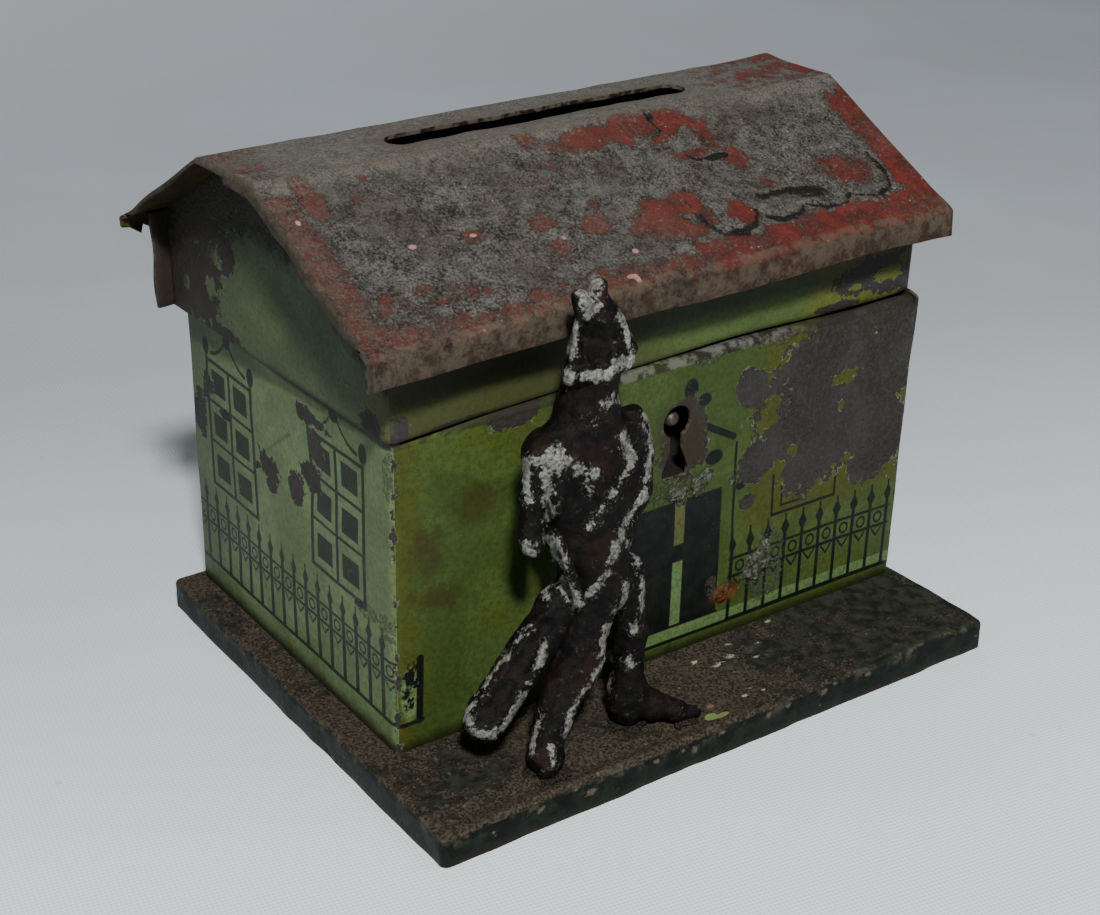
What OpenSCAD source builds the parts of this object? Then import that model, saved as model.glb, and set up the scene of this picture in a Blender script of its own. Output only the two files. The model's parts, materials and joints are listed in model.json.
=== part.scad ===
// Tin money box in the shape of a small house, with a hinged roof lid, a key lock and a cast figure.
// All sizes are in millimetres. The box body is centred on x = 0, y = 0 before place() moves the
// whole object, so that the origin lies at the bottom centre of its overall box.

/* [Box] */
// Width of the box walls, left to right
box_w = 62; // [58:0.5:66]
// Depth of the box walls, front to back
box_d = 40.4; // [38:0.2:42]
// Height of the top edge of the box walls above the table
box_top = 34.15; // [34:0.05:34.2]
// Thickness of the tinplate
sheet = 0.4; // [0.3:0.05:0.5]
// Outer radius of the bent upright corners
corner_r = 1; // [0.6:0.1:1.6]
// Outer radius of the rolled bead on the front wall's top edge
bead_r = 0.8; // [0.6:0.05:0.9]

/* [Base] */
// How far the base reaches past the left wall
base_left = 3.3; // [2:0.1:5]
// How far the base reaches past the right wall
base_right = 1; // [0.5:0.1:3]
// Depth of the porch in front of the front wall
porch = 13; // [12.6:0.1:16]
// How far the base reaches past the rear wall
base_rear = 0.6; // [0.4:0.1:1]
// Height of the base with its turned-down rims
base_h = 3.15; // [2.8:0.05:3.3]

/* [Lid] */
// Angle by which the lid sits twisted on the box, seen from above
lid_skew = 2.1; // [0:0.1:2.4]
// Gap between the box walls and the lid walls
lid_gap = 0.4; // [0.2:0.05:0.5]
// Left end of the lid walls
lid_left = 32; // [31.2:0.1:32.2]
// Right end of the lid walls
lid_right = 31; // [30:0.1:31]
// Front face of the lid walls
lid_front = -18.9; // [-19.1:0.1:-18.4]
// How far the rear wall of the lid reaches past the left gable
rear_flap = 1.9; // [1:0.1:2.4]

/* [Roof] */
// Left end of the roof
roof_left = 36.3; // [34:0.1:37]
// Right end of the roof
roof_right = 31.6; // [31.6:0.1:33]
// Height of the flat ridge strip
ridge_z = 54; // [52:0.1:56]
// Front edge of the ridge strip
ridge_front = -5; // [-6:0.1:-4.4]
// Rear edge of the ridge strip
ridge_rear = 4.45; // [4.2:0.05:5]
// Height of both eaves
eave_z = 44.5; // [44:0.1:45]
// Front eave
eave_front = -23; // [-23.4:0.1:-22.6]
// Rear eave
eave_rear = 20.8; // [20.7:0.1:21]
// Depth of the fascia turned down along both eaves
fascia_h = 2.6; // [2:0.1:3]
// Depth of the lips turned down along both gable ends
end_lip_h = 1.8; // [1.4:0.1:2.4]
// Length of the coin slot
slot_len = 34.8; // [33.5:0.1:36]
// Width of the coin slot
slot_w = 3.2; // [2.8:0.1:3.6]
// How far the slot's middle line lies in front of the middle of the box
slot_y = -0.6; // [-0.8:0.1:0]

/* [Keyhole and lock] */
// Height of the keyhole's round head and of the key post
key_z = 28.7; // [28.4:0.05:29]
// Radius of the keyhole's round head
key_r = 1.65; // [1.5:0.05:1.8]
// Lowest point of the keyhole
key_low = 22.8; // [22.6:0.1:23.4]

/* [Figure] */
// Number of sides of each rounded limb
limb_sides = 22; // [16:2:26]

/* [Hidden] */
$fn = 48;

// Slack that makes cutting bodies reach past the faces they cut
cut = 1;

// Levels and faces of the box
wall_l = -box_w / 2;
wall_r = box_w / 2;
wall_f = -box_d / 2;
wall_b = box_d / 2;
lid_z = box_top + lid_gap;
lid_rear = wall_b - sheet;
floor_z = base_h;

// Hinge line behind the rear wall
knuckle_r = 0.75;
wire_r = 0.38;
wire_bore = 0.42;
hinge_y = wall_b + 1.75;
hinge_z = box_top + 0.1;
hinge_half = 12;
knuckle_gap = 0.2;
box_knuckles = [[-12, -7.4], [-2.2, 2.2], [7.4, 12]];
lid_knuckles = [[-7.2, -2.4], [2.4, 7.2]];

// Overall box: the roof's rear left corner, its front right corner, the porch and the hinge
x_low = -roof_left * cos(lid_skew) - eave_rear * sin(lid_skew) - 0.005;
x_high = roof_right * cos(lid_skew) - (eave_front - 0.2) * sin(lid_skew);
y_low = wall_f - porch;
y_high = hinge_y + knuckle_r;
shift_x = -(x_low + x_high) / 2;
shift_y = -(y_low + y_high) / 2;

// Roof section: outer line from the front fascia over the ridge to the rear fascia
roof_line = [[eave_front - 0.2, eave_z - fascia_h], [eave_front, eave_z], [ridge_front, ridge_z],
    [ridge_rear, ridge_z], [eave_rear, eave_z], [eave_rear + 0.1, eave_z - fascia_h]];
roof_under = [[eave_front - 0.2 + sheet, eave_z - fascia_h], [eave_front + sheet, eave_z - 0.24],
    [ridge_front + 0.1, ridge_z - sheet], [ridge_rear - 0.1, ridge_z - sheet],
    [eave_rear - sheet, eave_z - 0.22], [eave_rear + 0.1 - sheet, eave_z - fascia_h]];
roof_clear = 0.5;

// Lock
case_half = 4.9;
case_front = wall_f + sheet;
case_back = -15;
case_low = 22.2;
case_high = 33.6;
flange = 2.5;
bolt_y = -16.65;
bolt_t = 0.8;
bolt_low = 30.6;
bolt_high = 32.2;
slot_play = 0.12;
staple_t = 0.5;
bead_clear = wall_f + 2 * bead_r + 0.15;

function reversed(list) = [for (i = [len(list) - 1:-1:0]) list[i]];
function lowered(list, drop) = [for (p = list) [p[0], p[1] - drop]];
function front_slope(y) = eave_z + (y - eave_front) * (ridge_z - eave_z) / (ridge_front - eave_front);
function rear_slope(y) = eave_z + (eave_rear - y) * (ridge_z - eave_z) / (eave_rear - ridge_rear);

// Moves the box-centred object to the row's origin
module place() translate([shift_x, shift_y, 0]) children();

// The lid's own frame, twisted with the lid
module on_lid() place() rotate([0, 0, lid_skew]) children();

// Extrudes an outline drawn in y and z from x0 to x1
module along_x(x0, x1) translate([x0, 0, 0]) rotate([90, 0, 90]) linear_extrude(x1 - x0) children();

// Extrudes an outline drawn in x and z from y0 towards the back to y1
module along_y(y0, y1) translate([0, y1, 0]) rotate([90, 0, 0]) linear_extrude(y1 - y0) children();

// Rectangle with round corners, from x0, y0 to x1, y1
module round_rect(x0, y0, x1, y1, r) {
    translate([x0 + r, y0]) square([x1 - x0 - 2 * r, y1 - y0]);
    translate([x0, y0 + r]) square([x1 - x0, y1 - y0 - 2 * r]);
    for (x = [x0 + r, x1 - r], y = [y0 + r, y1 - r]) translate([x, y]) circle(r);
}

// Upright band of sheet with bent corners
module sheet_band(x0, y0, x1, y1, z0, z1, r) {
    translate([0, 0, z0]) linear_extrude(z1 - z0) difference() {
        round_rect(x0, y0, x1, y1, r);
        round_rect(x0 + sheet, y0 + sheet, x1 - sheet, y1 - sheet, r - sheet);
    }
}

// Base: one sheet turned down along all four sides
module base_tray() color("#2b2f28") place() difference() {
    linear_extrude(base_h) round_rect(wall_l - base_left, wall_f - porch,
        wall_r + base_right, wall_b + base_rear, 0.8);
    translate([0, 0, -cut]) linear_extrude(base_h - sheet + cut) round_rect(
        wall_l - base_left + sheet, wall_f - porch + sheet,
        wall_r + base_right - sheet, wall_b + base_rear - sheet, 0.4);
}

// Outline of the keyhole: round head, narrow neck and flared foot
module keyhole_outline() {
    translate([0, key_z]) circle(key_r);
    polygon([[-0.8, key_z], [-0.75, key_z - 3], [-1.6, key_low + 0.8], [-1.5, key_low],
        [1.5, key_low], [1.6, key_low + 0.8], [0.75, key_z - 3], [0.8, key_z]]);
}

// Box walls: one strip bent round four corners, lapped behind, with a bead rolled inwards in front
module box_walls() color("#5c7a45") place() {
    difference() {
        sheet_band(wall_l, wall_f, wall_r, wall_b, floor_z, box_top, corner_r);
        translate([wall_l + corner_r, wall_f - cut, box_top - bead_r])
            cube([box_w - 2 * corner_r, cut + 2 * bead_r, bead_r + cut]);
        along_y(wall_f - cut, wall_f + cut) keyhole_outline();
    }
    along_x(wall_l + corner_r, wall_r - corner_r) translate([wall_f + bead_r, box_top - bead_r])
        difference() {
            circle(bead_r);
            circle(bead_r - sheet);
            translate([-cut, -2 * cut]) square([cut + 0.2, 2 * cut]);
        }
    translate([15, wall_b - 2 * sheet, floor_z]) cube([4, sheet, box_top - floor_z]);
}

// Solder that holds the walls to the base, run in short seams inside the corner of wall and floor
module floor_solder() color("#9a9c98") place() {
    seam = [[0, 0], [1.2, 0], [0.6, 0.25], [0.25, 0.6], [0, 1.2]];
    for (x = [-24, 0, 24], side = [0, 1]) translate([x + side * 5 - 2.5, 0, floor_z]) rotate([0, 0, side * 180])
        translate([0, wall_f + sheet, 0]) along_x(0, 5) polygon(seam);
    for (y = [-9, 9], side = [0, 1]) translate([0, y, floor_z]) rotate([0, 0, -90 + side * 180])
        translate([-2.5, wall_l + sheet, 0]) along_x(0, 5) polygon(seam);
}

// One rolled knuckle of the hinge
module knuckle(x0, x1) along_x(x0, x1) translate([hinge_y, hinge_z]) difference() {
    circle(knuckle_r);
    circle(wire_bore);
}

// Hinge leaf soldered to the outside of the box's rear wall
module hinge_leaf_box() color("#6d6a60") place() {
    along_x(-hinge_half, hinge_half) translate([wall_b, box_top - 7]) square([sheet, 5.4]);
    for (k = box_knuckles) {
        knuckle(k[0], k[1]);
        difference() {
            along_x(k[0], k[1]) polygon([[wall_b, box_top - 1.8], [wall_b + sheet, box_top - 1.8],
                [hinge_y - 0.2, hinge_z - 0.55], [hinge_y - 0.55, hinge_z - 0.2]]);
            along_x(k[0] - cut, k[1] + cut) translate([hinge_y, hinge_z]) circle(0.6);
        }
    }
}

// Hinge leaf soldered to the outside of the lid's rear wall, which lies askew to the hinge
module hinge_leaf_lid() color("#6d6a60") {
    on_lid() along_x(-7.2, 7.2) translate([wall_b, lid_z + 2.4]) square([sheet, 4.6]);
    for (k = lid_knuckles) {
        place() knuckle(k[0], k[1]);
        difference() {
            hull() {
                on_lid() translate([k[0], wall_b, lid_z + 2.4]) cube([k[1] - k[0], sheet, 0.3]);
                place() translate([k[0], hinge_y - 0.6, hinge_z + 0.3]) cube([k[1] - k[0], 0.3, 0.2]);
            }
            place() translate([k[0] - cut, hinge_y, hinge_z]) rotate([0, 90, 0])
                cylinder(r = 0.6, h = k[1] - k[0] + 2 * cut);
        }
    }
}

// Hinge pin: a straight wire with both ends bent down
module hinge_wire() color("#8a8678") place() {
    along_x(-hinge_half - 1, hinge_half + 1) translate([hinge_y, hinge_z]) circle(wire_r);
    for (x = [-hinge_half - 1, hinge_half + 1])
        translate([x, hinge_y, hinge_z - 1.8]) cylinder(r = wire_r, h = 1.8);
    for (x = [-hinge_half - 1, hinge_half + 1]) translate([x, hinge_y, hinge_z]) sphere(wire_r);
}

// Lock case: a folded cup with slots for the bolt and two flanges against the front wall
module lock_case() color("#77705f") place() difference() {
    union() {
        translate([-case_half, case_front, case_low])
            cube([2 * case_half, case_back - case_front, case_high - case_low]);
        translate([-case_half - flange, case_front, case_low + 0.6])
            cube([2 * (case_half + flange), sheet, 9]);
    }
    translate([-case_half + sheet, case_front - cut, case_low + sheet])
        cube([2 * (case_half - sheet), case_back - case_front + cut - sheet,
            case_high - case_low - 2 * sheet]);
    translate([-case_half - cut, case_front - cut, box_top - 2 * bead_r - 0.15])
        cube([2 * (case_half + cut), bead_clear - case_front + cut, 2 * bead_r + cut]);
    translate([-case_half - cut, bolt_y - slot_play, bolt_low - slot_play])
        cube([2 * (case_half + cut), bolt_t + 2 * slot_play, bolt_high - bolt_low + 2 * slot_play]);
    translate([0, case_back + cut, key_z]) rotate([90, 0, 0]) cylinder(r = 0.6, h = 2 * cut);
}

// Key post: a stepped pin riveted through the back of the case, with a rounded tip in the keyhole
module key_post() color("#8c6a45") place() translate([0, 0, key_z]) rotate([90, 0, 0]) {
    tip = -(wall_f + 0.3);
    translate([0, 0, -case_back + sheet]) cylinder(r = 0.8, h = tip - 0.8 + case_back - sheet);
    translate([0, 0, tip - 0.8]) sphere(0.8);
    translate([0, 0, -case_back - 0.4]) cylinder(r = 0.6, h = 0.4 + sheet);
    translate([0, 0, -case_back - 0.8]) cylinder(r = 1.3, h = 0.8);
}

// Ward: a ring round the post, open below, that only the right key can pass
module lock_ward() color("#77705f") place() translate([0, case_back - sheet, key_z]) rotate([90, 0, 0])
    difference() {
        cylinder(r = 1.8, h = 0.3);
        translate([0, 0, -cut]) cylinder(r = 1.4, h = 0.3 + 2 * cut);
        translate([-1, -3, -cut]) cube([2, 3, 0.3 + 2 * cut]);
    }

// Bolt: a sliding bar with two talons that the key pushes
module lock_bolt() color("#8f8a7c") place() along_y(bolt_y, bolt_y + bolt_t) {
    translate([-9.3, bolt_low]) square([14.6, bolt_high - bolt_low]);
    for (x = [-4.3, -0.7]) translate([x, bolt_low - 0.7]) square([1, 0.8]);
}

// Bowed leaf spring between the bolt and the top of the case
module bolt_spring() color("#9b988e") place() along_y(bolt_y, bolt_y + bolt_t) {
    half = case_half - sheet - 0.1;
    low = bolt_high + 0.15;
    rise = case_high - sheet - 0.22 - low;
    bow = [for (i = [-6:6]) [half * i / 6, low + rise * i * i / 36]];
    polygon(concat(bow, reversed(lowered(bow, -0.2))));
}

// Solder dabs that hold the flanges of the lock case to the front wall
module lock_solder() color("#9a9c98") place()
    for (x = [-7, 7], z = [case_low + 2, case_low + 8]) translate([x, case_front + sheet, z])
        rotate([-90, 0, 0]) solder_mound(0.9, 0.5);

// A tapering limb between two balls, each given as [x, y, z, radius]
module limb(p, q) hull() for (ball = [p, q])
    translate([ball[0], ball[1], ball[2]]) sphere(ball[3], $fn = limb_sides);

// A chain of limbs through a list of balls
module limb_chain(balls) for (i = [0:len(balls) - 2]) limb(balls[i], balls[i + 1]);

// Cast lead animal, upright like a person: bushy tail to the left, one arm across the belly
module figure() color("#4a4542") place() intersection() {
    union() {
        limb_chain([[-14.4, -26.2, 47.5, 1], [-14.5, -26.4, 44.1, 1.8], [-14.3, -26.5, 41.4, 2.3],
            [-15.1, -26.3, 37.5, 3]]);
        limb([-15.8, -26.5, 46.2, 1], [-15.6, -26.5, 42.9, 1.5]);
        limb([-17.2, -26.8, 40.6, 1.2], [-11.6, -26.6, 40.1, 1.4]);
        hull() for (ball = [[-18.9, -26.4, 32.6, 2.3], [-11.3, -26.3, 32.5, 2], [-15.2, -26.3, 35.4, 3.3],
            [-14.9, -26.4, 24, 3.55]])
            translate([ball[0], ball[1], ball[2]]) sphere(ball[3], $fn = limb_sides);
        limb([-14.9, -26.4, 24, 3.55], [-13.8, -26.4, 18.3, 3.3]);
        limb_chain([[-10.7, -26.6, 34.4, 1.3], [-10.3, -26.8, 29.2, 1.25], [-13.4, -28.6, 27.2, 1.25],
            [-16.7, -29.2, 27.4, 1.15]]);
        limb_chain([[-20.2, -26.8, 32.5, 1.5], [-20.7, -26.8, 27.8, 1.2], [-21.1, -27, 24.8, 1.25]]);
        limb_chain([[-17.1, -26.2, 17.9, 1.9], [-21.4, -26, 12.6, 2], [-25.1, -26, 8, 1.95]]);
        limb_chain([[-14.6, -26.8, 17, 2.4], [-16.3, -27.4, 11.6, 2.2], [-19, -28.2, 8.4, 1.9],
            [-20.8, -29, 5.9, 1.5], [-21.4, -29.9, 4.6, 1.5]]);
        limb_chain([[-10.9, -26.5, 18.8, 2.1], [-9.8, -26.6, 12.2, 1.45], [-10.2, -27, 7.4, 1.5],
            [-10.8, -27.6, 4.5, 1.4], [-8.6, -28.2, 4.6, 1.45], [-5.5, -30.2, 3.9, 0.75]]);
    }
    translate([-40, -40, floor_z]) cube([60, 30, 60]);
}

// Low mound of solder with radius r and height h, standing on the plane z = 0
module solder_mound(r, h) cylinder(r1 = r, r2 = 0.55 * r, h = h);

// Solder that holds the figure's feet to the porch; it closes round their lowest edge
module figure_solder() color("#8f918d") place()
    for (p = [[-21.4, -29.9, 2.1], [-10.8, -27.6, 2.1], [-5.7, -30.1, 1.4]])
        translate([p[0], p[1], floor_z]) solder_mound(p[2], 0.4);

// Solder left on the wall and the porch where a second figure has broken off
module old_solder() color("#a3a49c") place() {
    for (p = [[11, 10, 1.9, 0.35], [0.6, 21, 1.2, 0.3], [3.4, 21.4, 1.2, 0.25], [7, 7.9, 0.9, 0.3]])
        translate([p[0], wall_f, p[1]]) rotate([90, 0, 0]) solder_mound(p[2], p[3]);
    for (p = [[4.5, -25.5, 1.1], [7.5, -24.2, 0.8]])
        translate([p[0], p[1], floor_z]) solder_mound(p[2], 0.25);
}

// Outline of a gable, from the seam up to just under the roof
module gable_outline() polygon([[lid_front, lid_z], [lid_front, front_slope(lid_front) - roof_clear],
    [ridge_front + 0.2, ridge_z - roof_clear], [ridge_rear - 0.2, ridge_z - roof_clear],
    [lid_rear, rear_slope(lid_rear) - roof_clear], [lid_rear, lid_z]]);

// Lid walls: one strip bent into the front band and both gables
module lid_walls() color("#4d6438") on_lid() {
    intersection() {
        difference() {
            translate([0, 0, lid_z]) linear_extrude(ridge_z - lid_z)
                round_rect(-lid_left, lid_front, lid_right, wall_b + 3, corner_r);
            translate([0, 0, lid_z - cut]) linear_extrude(ridge_z - lid_z + 2 * cut)
                round_rect(-lid_left + sheet, lid_front + sheet, lid_right - sheet, wall_b + 5,
                    corner_r - sheet);
        }
        along_x(-lid_left - cut, lid_right + cut) gable_outline();
    }
}

// Rear wall of the lid: a flat plate that reaches past the left gable
module lid_rear_wall() color("#3c3a30") on_lid() translate([-lid_left - rear_flap, lid_rear, lid_z])
    cube([lid_left + lid_right + rear_flap, sheet, rear_slope(wall_b) - roof_clear - lid_z]);

// Roof: one bent sheet with a flat ridge, fascias, end lips and the coin slot
module roof() color("#7d4038") on_lid() difference() {
    union() {
        along_x(-roof_left, roof_right) polygon(concat(roof_line, reversed(roof_under)));
        for (x = [-roof_left, roof_right - sheet]) along_x(x, x + sheet)
            polygon(concat([for (i = [1:4]) roof_line[i]],
                reversed(lowered([for (i = [1:4]) roof_line[i]], end_lip_h))));
    }
    translate([(roof_right - roof_left) / 2, slot_y, ridge_z - cut])
        linear_extrude(2 * cut) {
            square([slot_len - slot_w, slot_w], center = true);
            for (side = [-1, 1]) translate([side * (slot_len - slot_w) / 2, 0]) circle(slot_w / 2);
        }
}

// Solder that holds the roof to the gables, inside the lid
module roof_solder() color("#9a9c98") on_lid() {
    fillet = [[0, 0], [1.3, 0], [0.3, -0.3], [0, -1.3]];
    for (y = [-3, 2.6]) translate([-lid_left + sheet, y, ridge_z - roof_clear]) rotate([90, 0, 0])
        linear_extrude(2.6, center = true) polygon(fillet);
    for (y = [-3, 2.6]) translate([lid_right - sheet, y, ridge_z - roof_clear]) rotate([90, 0, 180])
        linear_extrude(2.6, center = true) polygon(fillet);
}

// Staple: a strip bent into a loop that hangs behind the front wall and takes the bolt
module lid_staple() color("#7a766a") on_lid() along_x(6.4, 8.9) {
    t = staple_t;
    band = lid_front + sheet;
    leg = -17.6;
    low = 30;
    back = -14.7;
    polygon([[band, 41], [band, 36.6], [leg, 35], [leg, low], [back, low], [back, 33.2],
        [back - t, 33.2], [back - t, low + t], [leg + t, low + t], [leg + t, 35.2], [band + t, 36.8],
        [band + t, 41]]);
}

// Two small rivets through the staple and the front band
module staple_rivets() color("#8d8a80") on_lid() for (z = [37.9, 39.7]) {
    translate([7.65, lid_front + sheet + staple_t, z]) rotate([-90, 0, 0]) solder_mound(0.6, 0.35);
}

base_tray();
box_walls();
floor_solder();
hinge_leaf_box();
hinge_wire();
lock_case();
key_post();
lock_ward();
lock_bolt();
bolt_spring();
lock_solder();
figure();
figure_solder();
old_solder();
lid_walls();
lid_rear_wall();
roof();
roof_solder();
hinge_leaf_lid();
lid_staple();
staple_rivets();
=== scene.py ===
"""Tin money box in the shape of a house: worn lithographed tinplate with a cast lead animal on its porch."""
import json
import math

import bmesh
import bpy
import numpy as np
from mathutils import Matrix, Vector


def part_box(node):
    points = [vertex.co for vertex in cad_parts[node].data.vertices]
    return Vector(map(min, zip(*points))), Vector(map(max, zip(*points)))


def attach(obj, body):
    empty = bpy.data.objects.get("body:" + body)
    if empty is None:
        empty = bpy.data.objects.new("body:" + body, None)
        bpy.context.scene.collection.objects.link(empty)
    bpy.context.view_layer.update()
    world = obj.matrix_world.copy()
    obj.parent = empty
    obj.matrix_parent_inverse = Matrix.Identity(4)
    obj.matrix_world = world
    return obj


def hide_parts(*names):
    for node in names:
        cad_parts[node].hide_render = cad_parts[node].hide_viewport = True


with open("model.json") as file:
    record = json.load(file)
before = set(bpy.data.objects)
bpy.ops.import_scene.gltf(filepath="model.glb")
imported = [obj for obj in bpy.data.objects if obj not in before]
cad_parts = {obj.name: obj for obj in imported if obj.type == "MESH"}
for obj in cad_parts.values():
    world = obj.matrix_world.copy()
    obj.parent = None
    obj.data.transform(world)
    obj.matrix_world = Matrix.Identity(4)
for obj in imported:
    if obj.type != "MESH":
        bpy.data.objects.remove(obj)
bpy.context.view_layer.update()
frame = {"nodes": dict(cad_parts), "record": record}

# Sizes are in millimetres, in plan from the middle of the box walls; MM turns them into the scene's metres.
MM = 0.001
SHEET = 0.4
SHEARED_EDGE = 0.07
LID_SKEW = math.radians(2.1)
LID_LEFT, LID_RIGHT, LID_FRONT, LID_REAR = -32, 31, -19.3, 19.8
EAVE_FRONT, EAVE_REAR, EAVE_Z = -23, 20.8, 44.5
RIDGE_FRONT, RIDGE_REAR, RIDGE_Z = -5, 4.45, 54
ROOF_LEFT, ROOF_RIGHT = -36.3, 31.6
SLOT_X, SLOT_Y, SLOT_RUN, SLOT_HALF = -2.4, -0.6, 15.8, 1.6
BEAD = 0.8
walls_low, walls_high = (np.array(c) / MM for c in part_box("box_walls"))
HOUSE = (walls_low + walls_high) / 2
WALL_X = (walls_high - walls_low)[0] / 2
WALL_Y = (walls_high - walls_low)[1] / 2
FLOOR_Z, BOX_TOP = walls_low[2], walls_high[2]
LID_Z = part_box("lid_rear_wall")[0].z / MM


# ---------------------------------------------------------------- shapes

def placed(p, skew=0.0):
    """Box-centred millimetres, turned about the upright axis by skew and moved to the row frame."""
    c, s = math.cos(skew), math.sin(skew)
    return np.stack([p[..., 0] * c - p[..., 1] * s + HOUSE[0],
                     p[..., 0] * s + p[..., 1] * c + HOUSE[1], p[..., 2]], -1)


def ripple(p, wave, seed, waves=8):
    """Smooth unevenness of about -1 to 1: a sum of sines about wave millimetres long in seeded directions."""
    rng = np.random.default_rng(seed)
    way = rng.normal(size=(waves, 3))
    way /= np.linalg.norm(way, axis=1, keepdims=True)
    turns = 2 * np.pi / (wave * rng.uniform(0.7, 1.6, waves))
    return np.sin((p @ way.T) * turns + rng.uniform(0, 6.28, waves)).sum(-1) / math.sqrt(waves)


def dent(p, centre, radius, depth):
    """Round dent: depth times a bell of the distance from centre."""
    return depth * np.exp(-((p - np.array(centre)) ** 2).sum(-1) / radius ** 2)


def smooth(t):
    """Rises from 0 to 1 with level ends."""
    t = np.clip(t, 0, 1)
    return t * t * (3 - 2 * t)


def bent_line(corners, step, closed=False):
    """Line through corners (a, b, bend radius): straight runs in steps, bends as arcs in 15 degree turns."""
    pts = np.array([c[:2] for c in corners], float)
    runs = []
    for i, corner in enumerate(corners):
        if not closed and i in (0, len(pts) - 1):
            runs.append(pts[i:i + 1])
            continue
        a, b = pts[i] - pts[i - 1], pts[(i + 1) % len(pts)] - pts[i]
        a, b = a / np.linalg.norm(a), b / np.linalg.norm(b)
        turn = math.atan2(a[0] * b[1] - a[1] * b[0], float(a @ b))
        start = pts[i] - a * corner[2] * math.tan(abs(turn) / 2)
        centre = start + np.array([-a[1], a[0]]) * np.sign(turn) * corner[2]
        t = np.linspace(0, turn, max(3, int(abs(turn) / math.radians(15)) + 2))[:, None]
        arm = start - centre
        runs.append(centre + np.concatenate([arm[0] * np.cos(t) - arm[1] * np.sin(t),
                                             arm[0] * np.sin(t) + arm[1] * np.cos(t)], 1))
    line = [runs[0]]
    for run in runs[1:] + ([runs[0][:1]] if closed else []):
        gap = run[0] - line[-1][-1]
        count = max(1, int(round(np.linalg.norm(gap) / step)))
        line.append(line[-1][-1] + gap * (np.arange(1, count) / count)[:, None])
        line.append(run)
    return np.concatenate(line)


def quads(rows, cols, start=0):
    """Faces of a grid of rows by cols points; they point along column direction times row direction."""
    a = start + np.arange(rows - 1)[:, None] * cols + np.arange(cols - 1)[None, :]
    return np.stack([a, a + 1, a + cols + 1, a + cols], -1).reshape(-1, 4)


def plan_of(mesh):
    """The places stored on a mesh's points, one row each."""
    plans = np.empty(len(mesh.vertices) * 3, np.float32)
    mesh.attributes["plan"].data.foreach_get("vector", plans)
    return plans.reshape(-1, 3)


def make(name, points, faces, plan, body, nodes, finishes, thickness=0.0, edge=0.0, zone=None):
    """Mesh from points in row-frame millimetres; plan keeps the undented place that the printing follows. The
    finishes of a sheet are for its outside (one or, by zone, two), its inside and its cut edges. A sheet
    grows inwards by its thickness."""
    mesh = bpy.data.meshes.new(name)
    mesh.vertices.add(len(points))
    mesh.vertices.foreach_set("co", (points * MM).astype(np.float32).ravel())
    mesh.loops.add(faces.size)
    mesh.loops.foreach_set("vertex_index", faces.astype(np.int32).ravel())
    mesh.polygons.add(len(faces))
    mesh.polygons.foreach_set("loop_start", np.arange(0, faces.size, 4, dtype=np.int32))
    mesh.update(calc_edges=True)
    layer = mesh.attributes.new("plan", "FLOAT_VECTOR", "POINT")
    layer.data.foreach_set("vector", plan.astype(np.float32).ravel())
    work = bmesh.new()
    work.from_mesh(mesh)
    bmesh.ops.remove_doubles(work, verts=work.verts, dist=0.003 * MM)
    work.to_mesh(mesh)
    work.free()
    mesh.polygons.foreach_set("use_smooth", [True] * len(mesh.polygons))
    outsides = len(finishes) - 2 if thickness else len(finishes)
    if thickness:
        finishes = finishes[:outsides] + [finishes[-2]] * outsides + [finishes[-1]] * outsides
    for finish in finishes:
        mesh.materials.append(finish)
    if zone:
        plans = plan_of(mesh)
        first = np.empty(len(mesh.polygons), np.int32)
        mesh.polygons.foreach_get("loop_start", first)
        corner = np.empty(len(mesh.loops), np.int32)
        mesh.loops.foreach_get("vertex_index", corner)
        middle = (plans[corner[first]] + plans[corner[first + 2]]) / 2
        mesh.polygons.foreach_set("material_index", zone(middle).astype(np.int32))
    obj = bpy.data.objects.new(name, mesh)
    bpy.context.scene.collection.objects.link(obj)
    if thickness:
        wall = obj.modifiers.new("wall", "SOLIDIFY")
        wall.thickness = thickness * MM
        wall.offset = -1
        wall.use_even_offset = True
        wall.thickness_clamp = 0
        wall.material_offset = outsides
        wall.material_offset_rim = 2 * outsides
    if edge:
        round_edge = obj.modifiers.new("rounded edges", "BEVEL")
        round_edge.width = edge * MM
        round_edge.segments = 2
        round_edge.limit_method = "ANGLE"
        round_edge.angle_limit = math.radians(50)
        round_edge.use_clamp_overlap = True
    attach(obj, body)
    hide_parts(*nodes)
    return obj


def join_grids(grids):
    """Grids of (points, plan) made one list of points, plan and faces."""
    points, plans, faces, start = [], [], [], 0
    for p, plan in grids:
        points.append(p.reshape(-1, 3))
        plans.append(plan.reshape(-1, 3))
        faces.append(quads(p.shape[0], p.shape[1], start))
        start += points[-1].shape[0]
    return np.concatenate(points), np.concatenate(faces), np.concatenate(plans)


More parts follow.
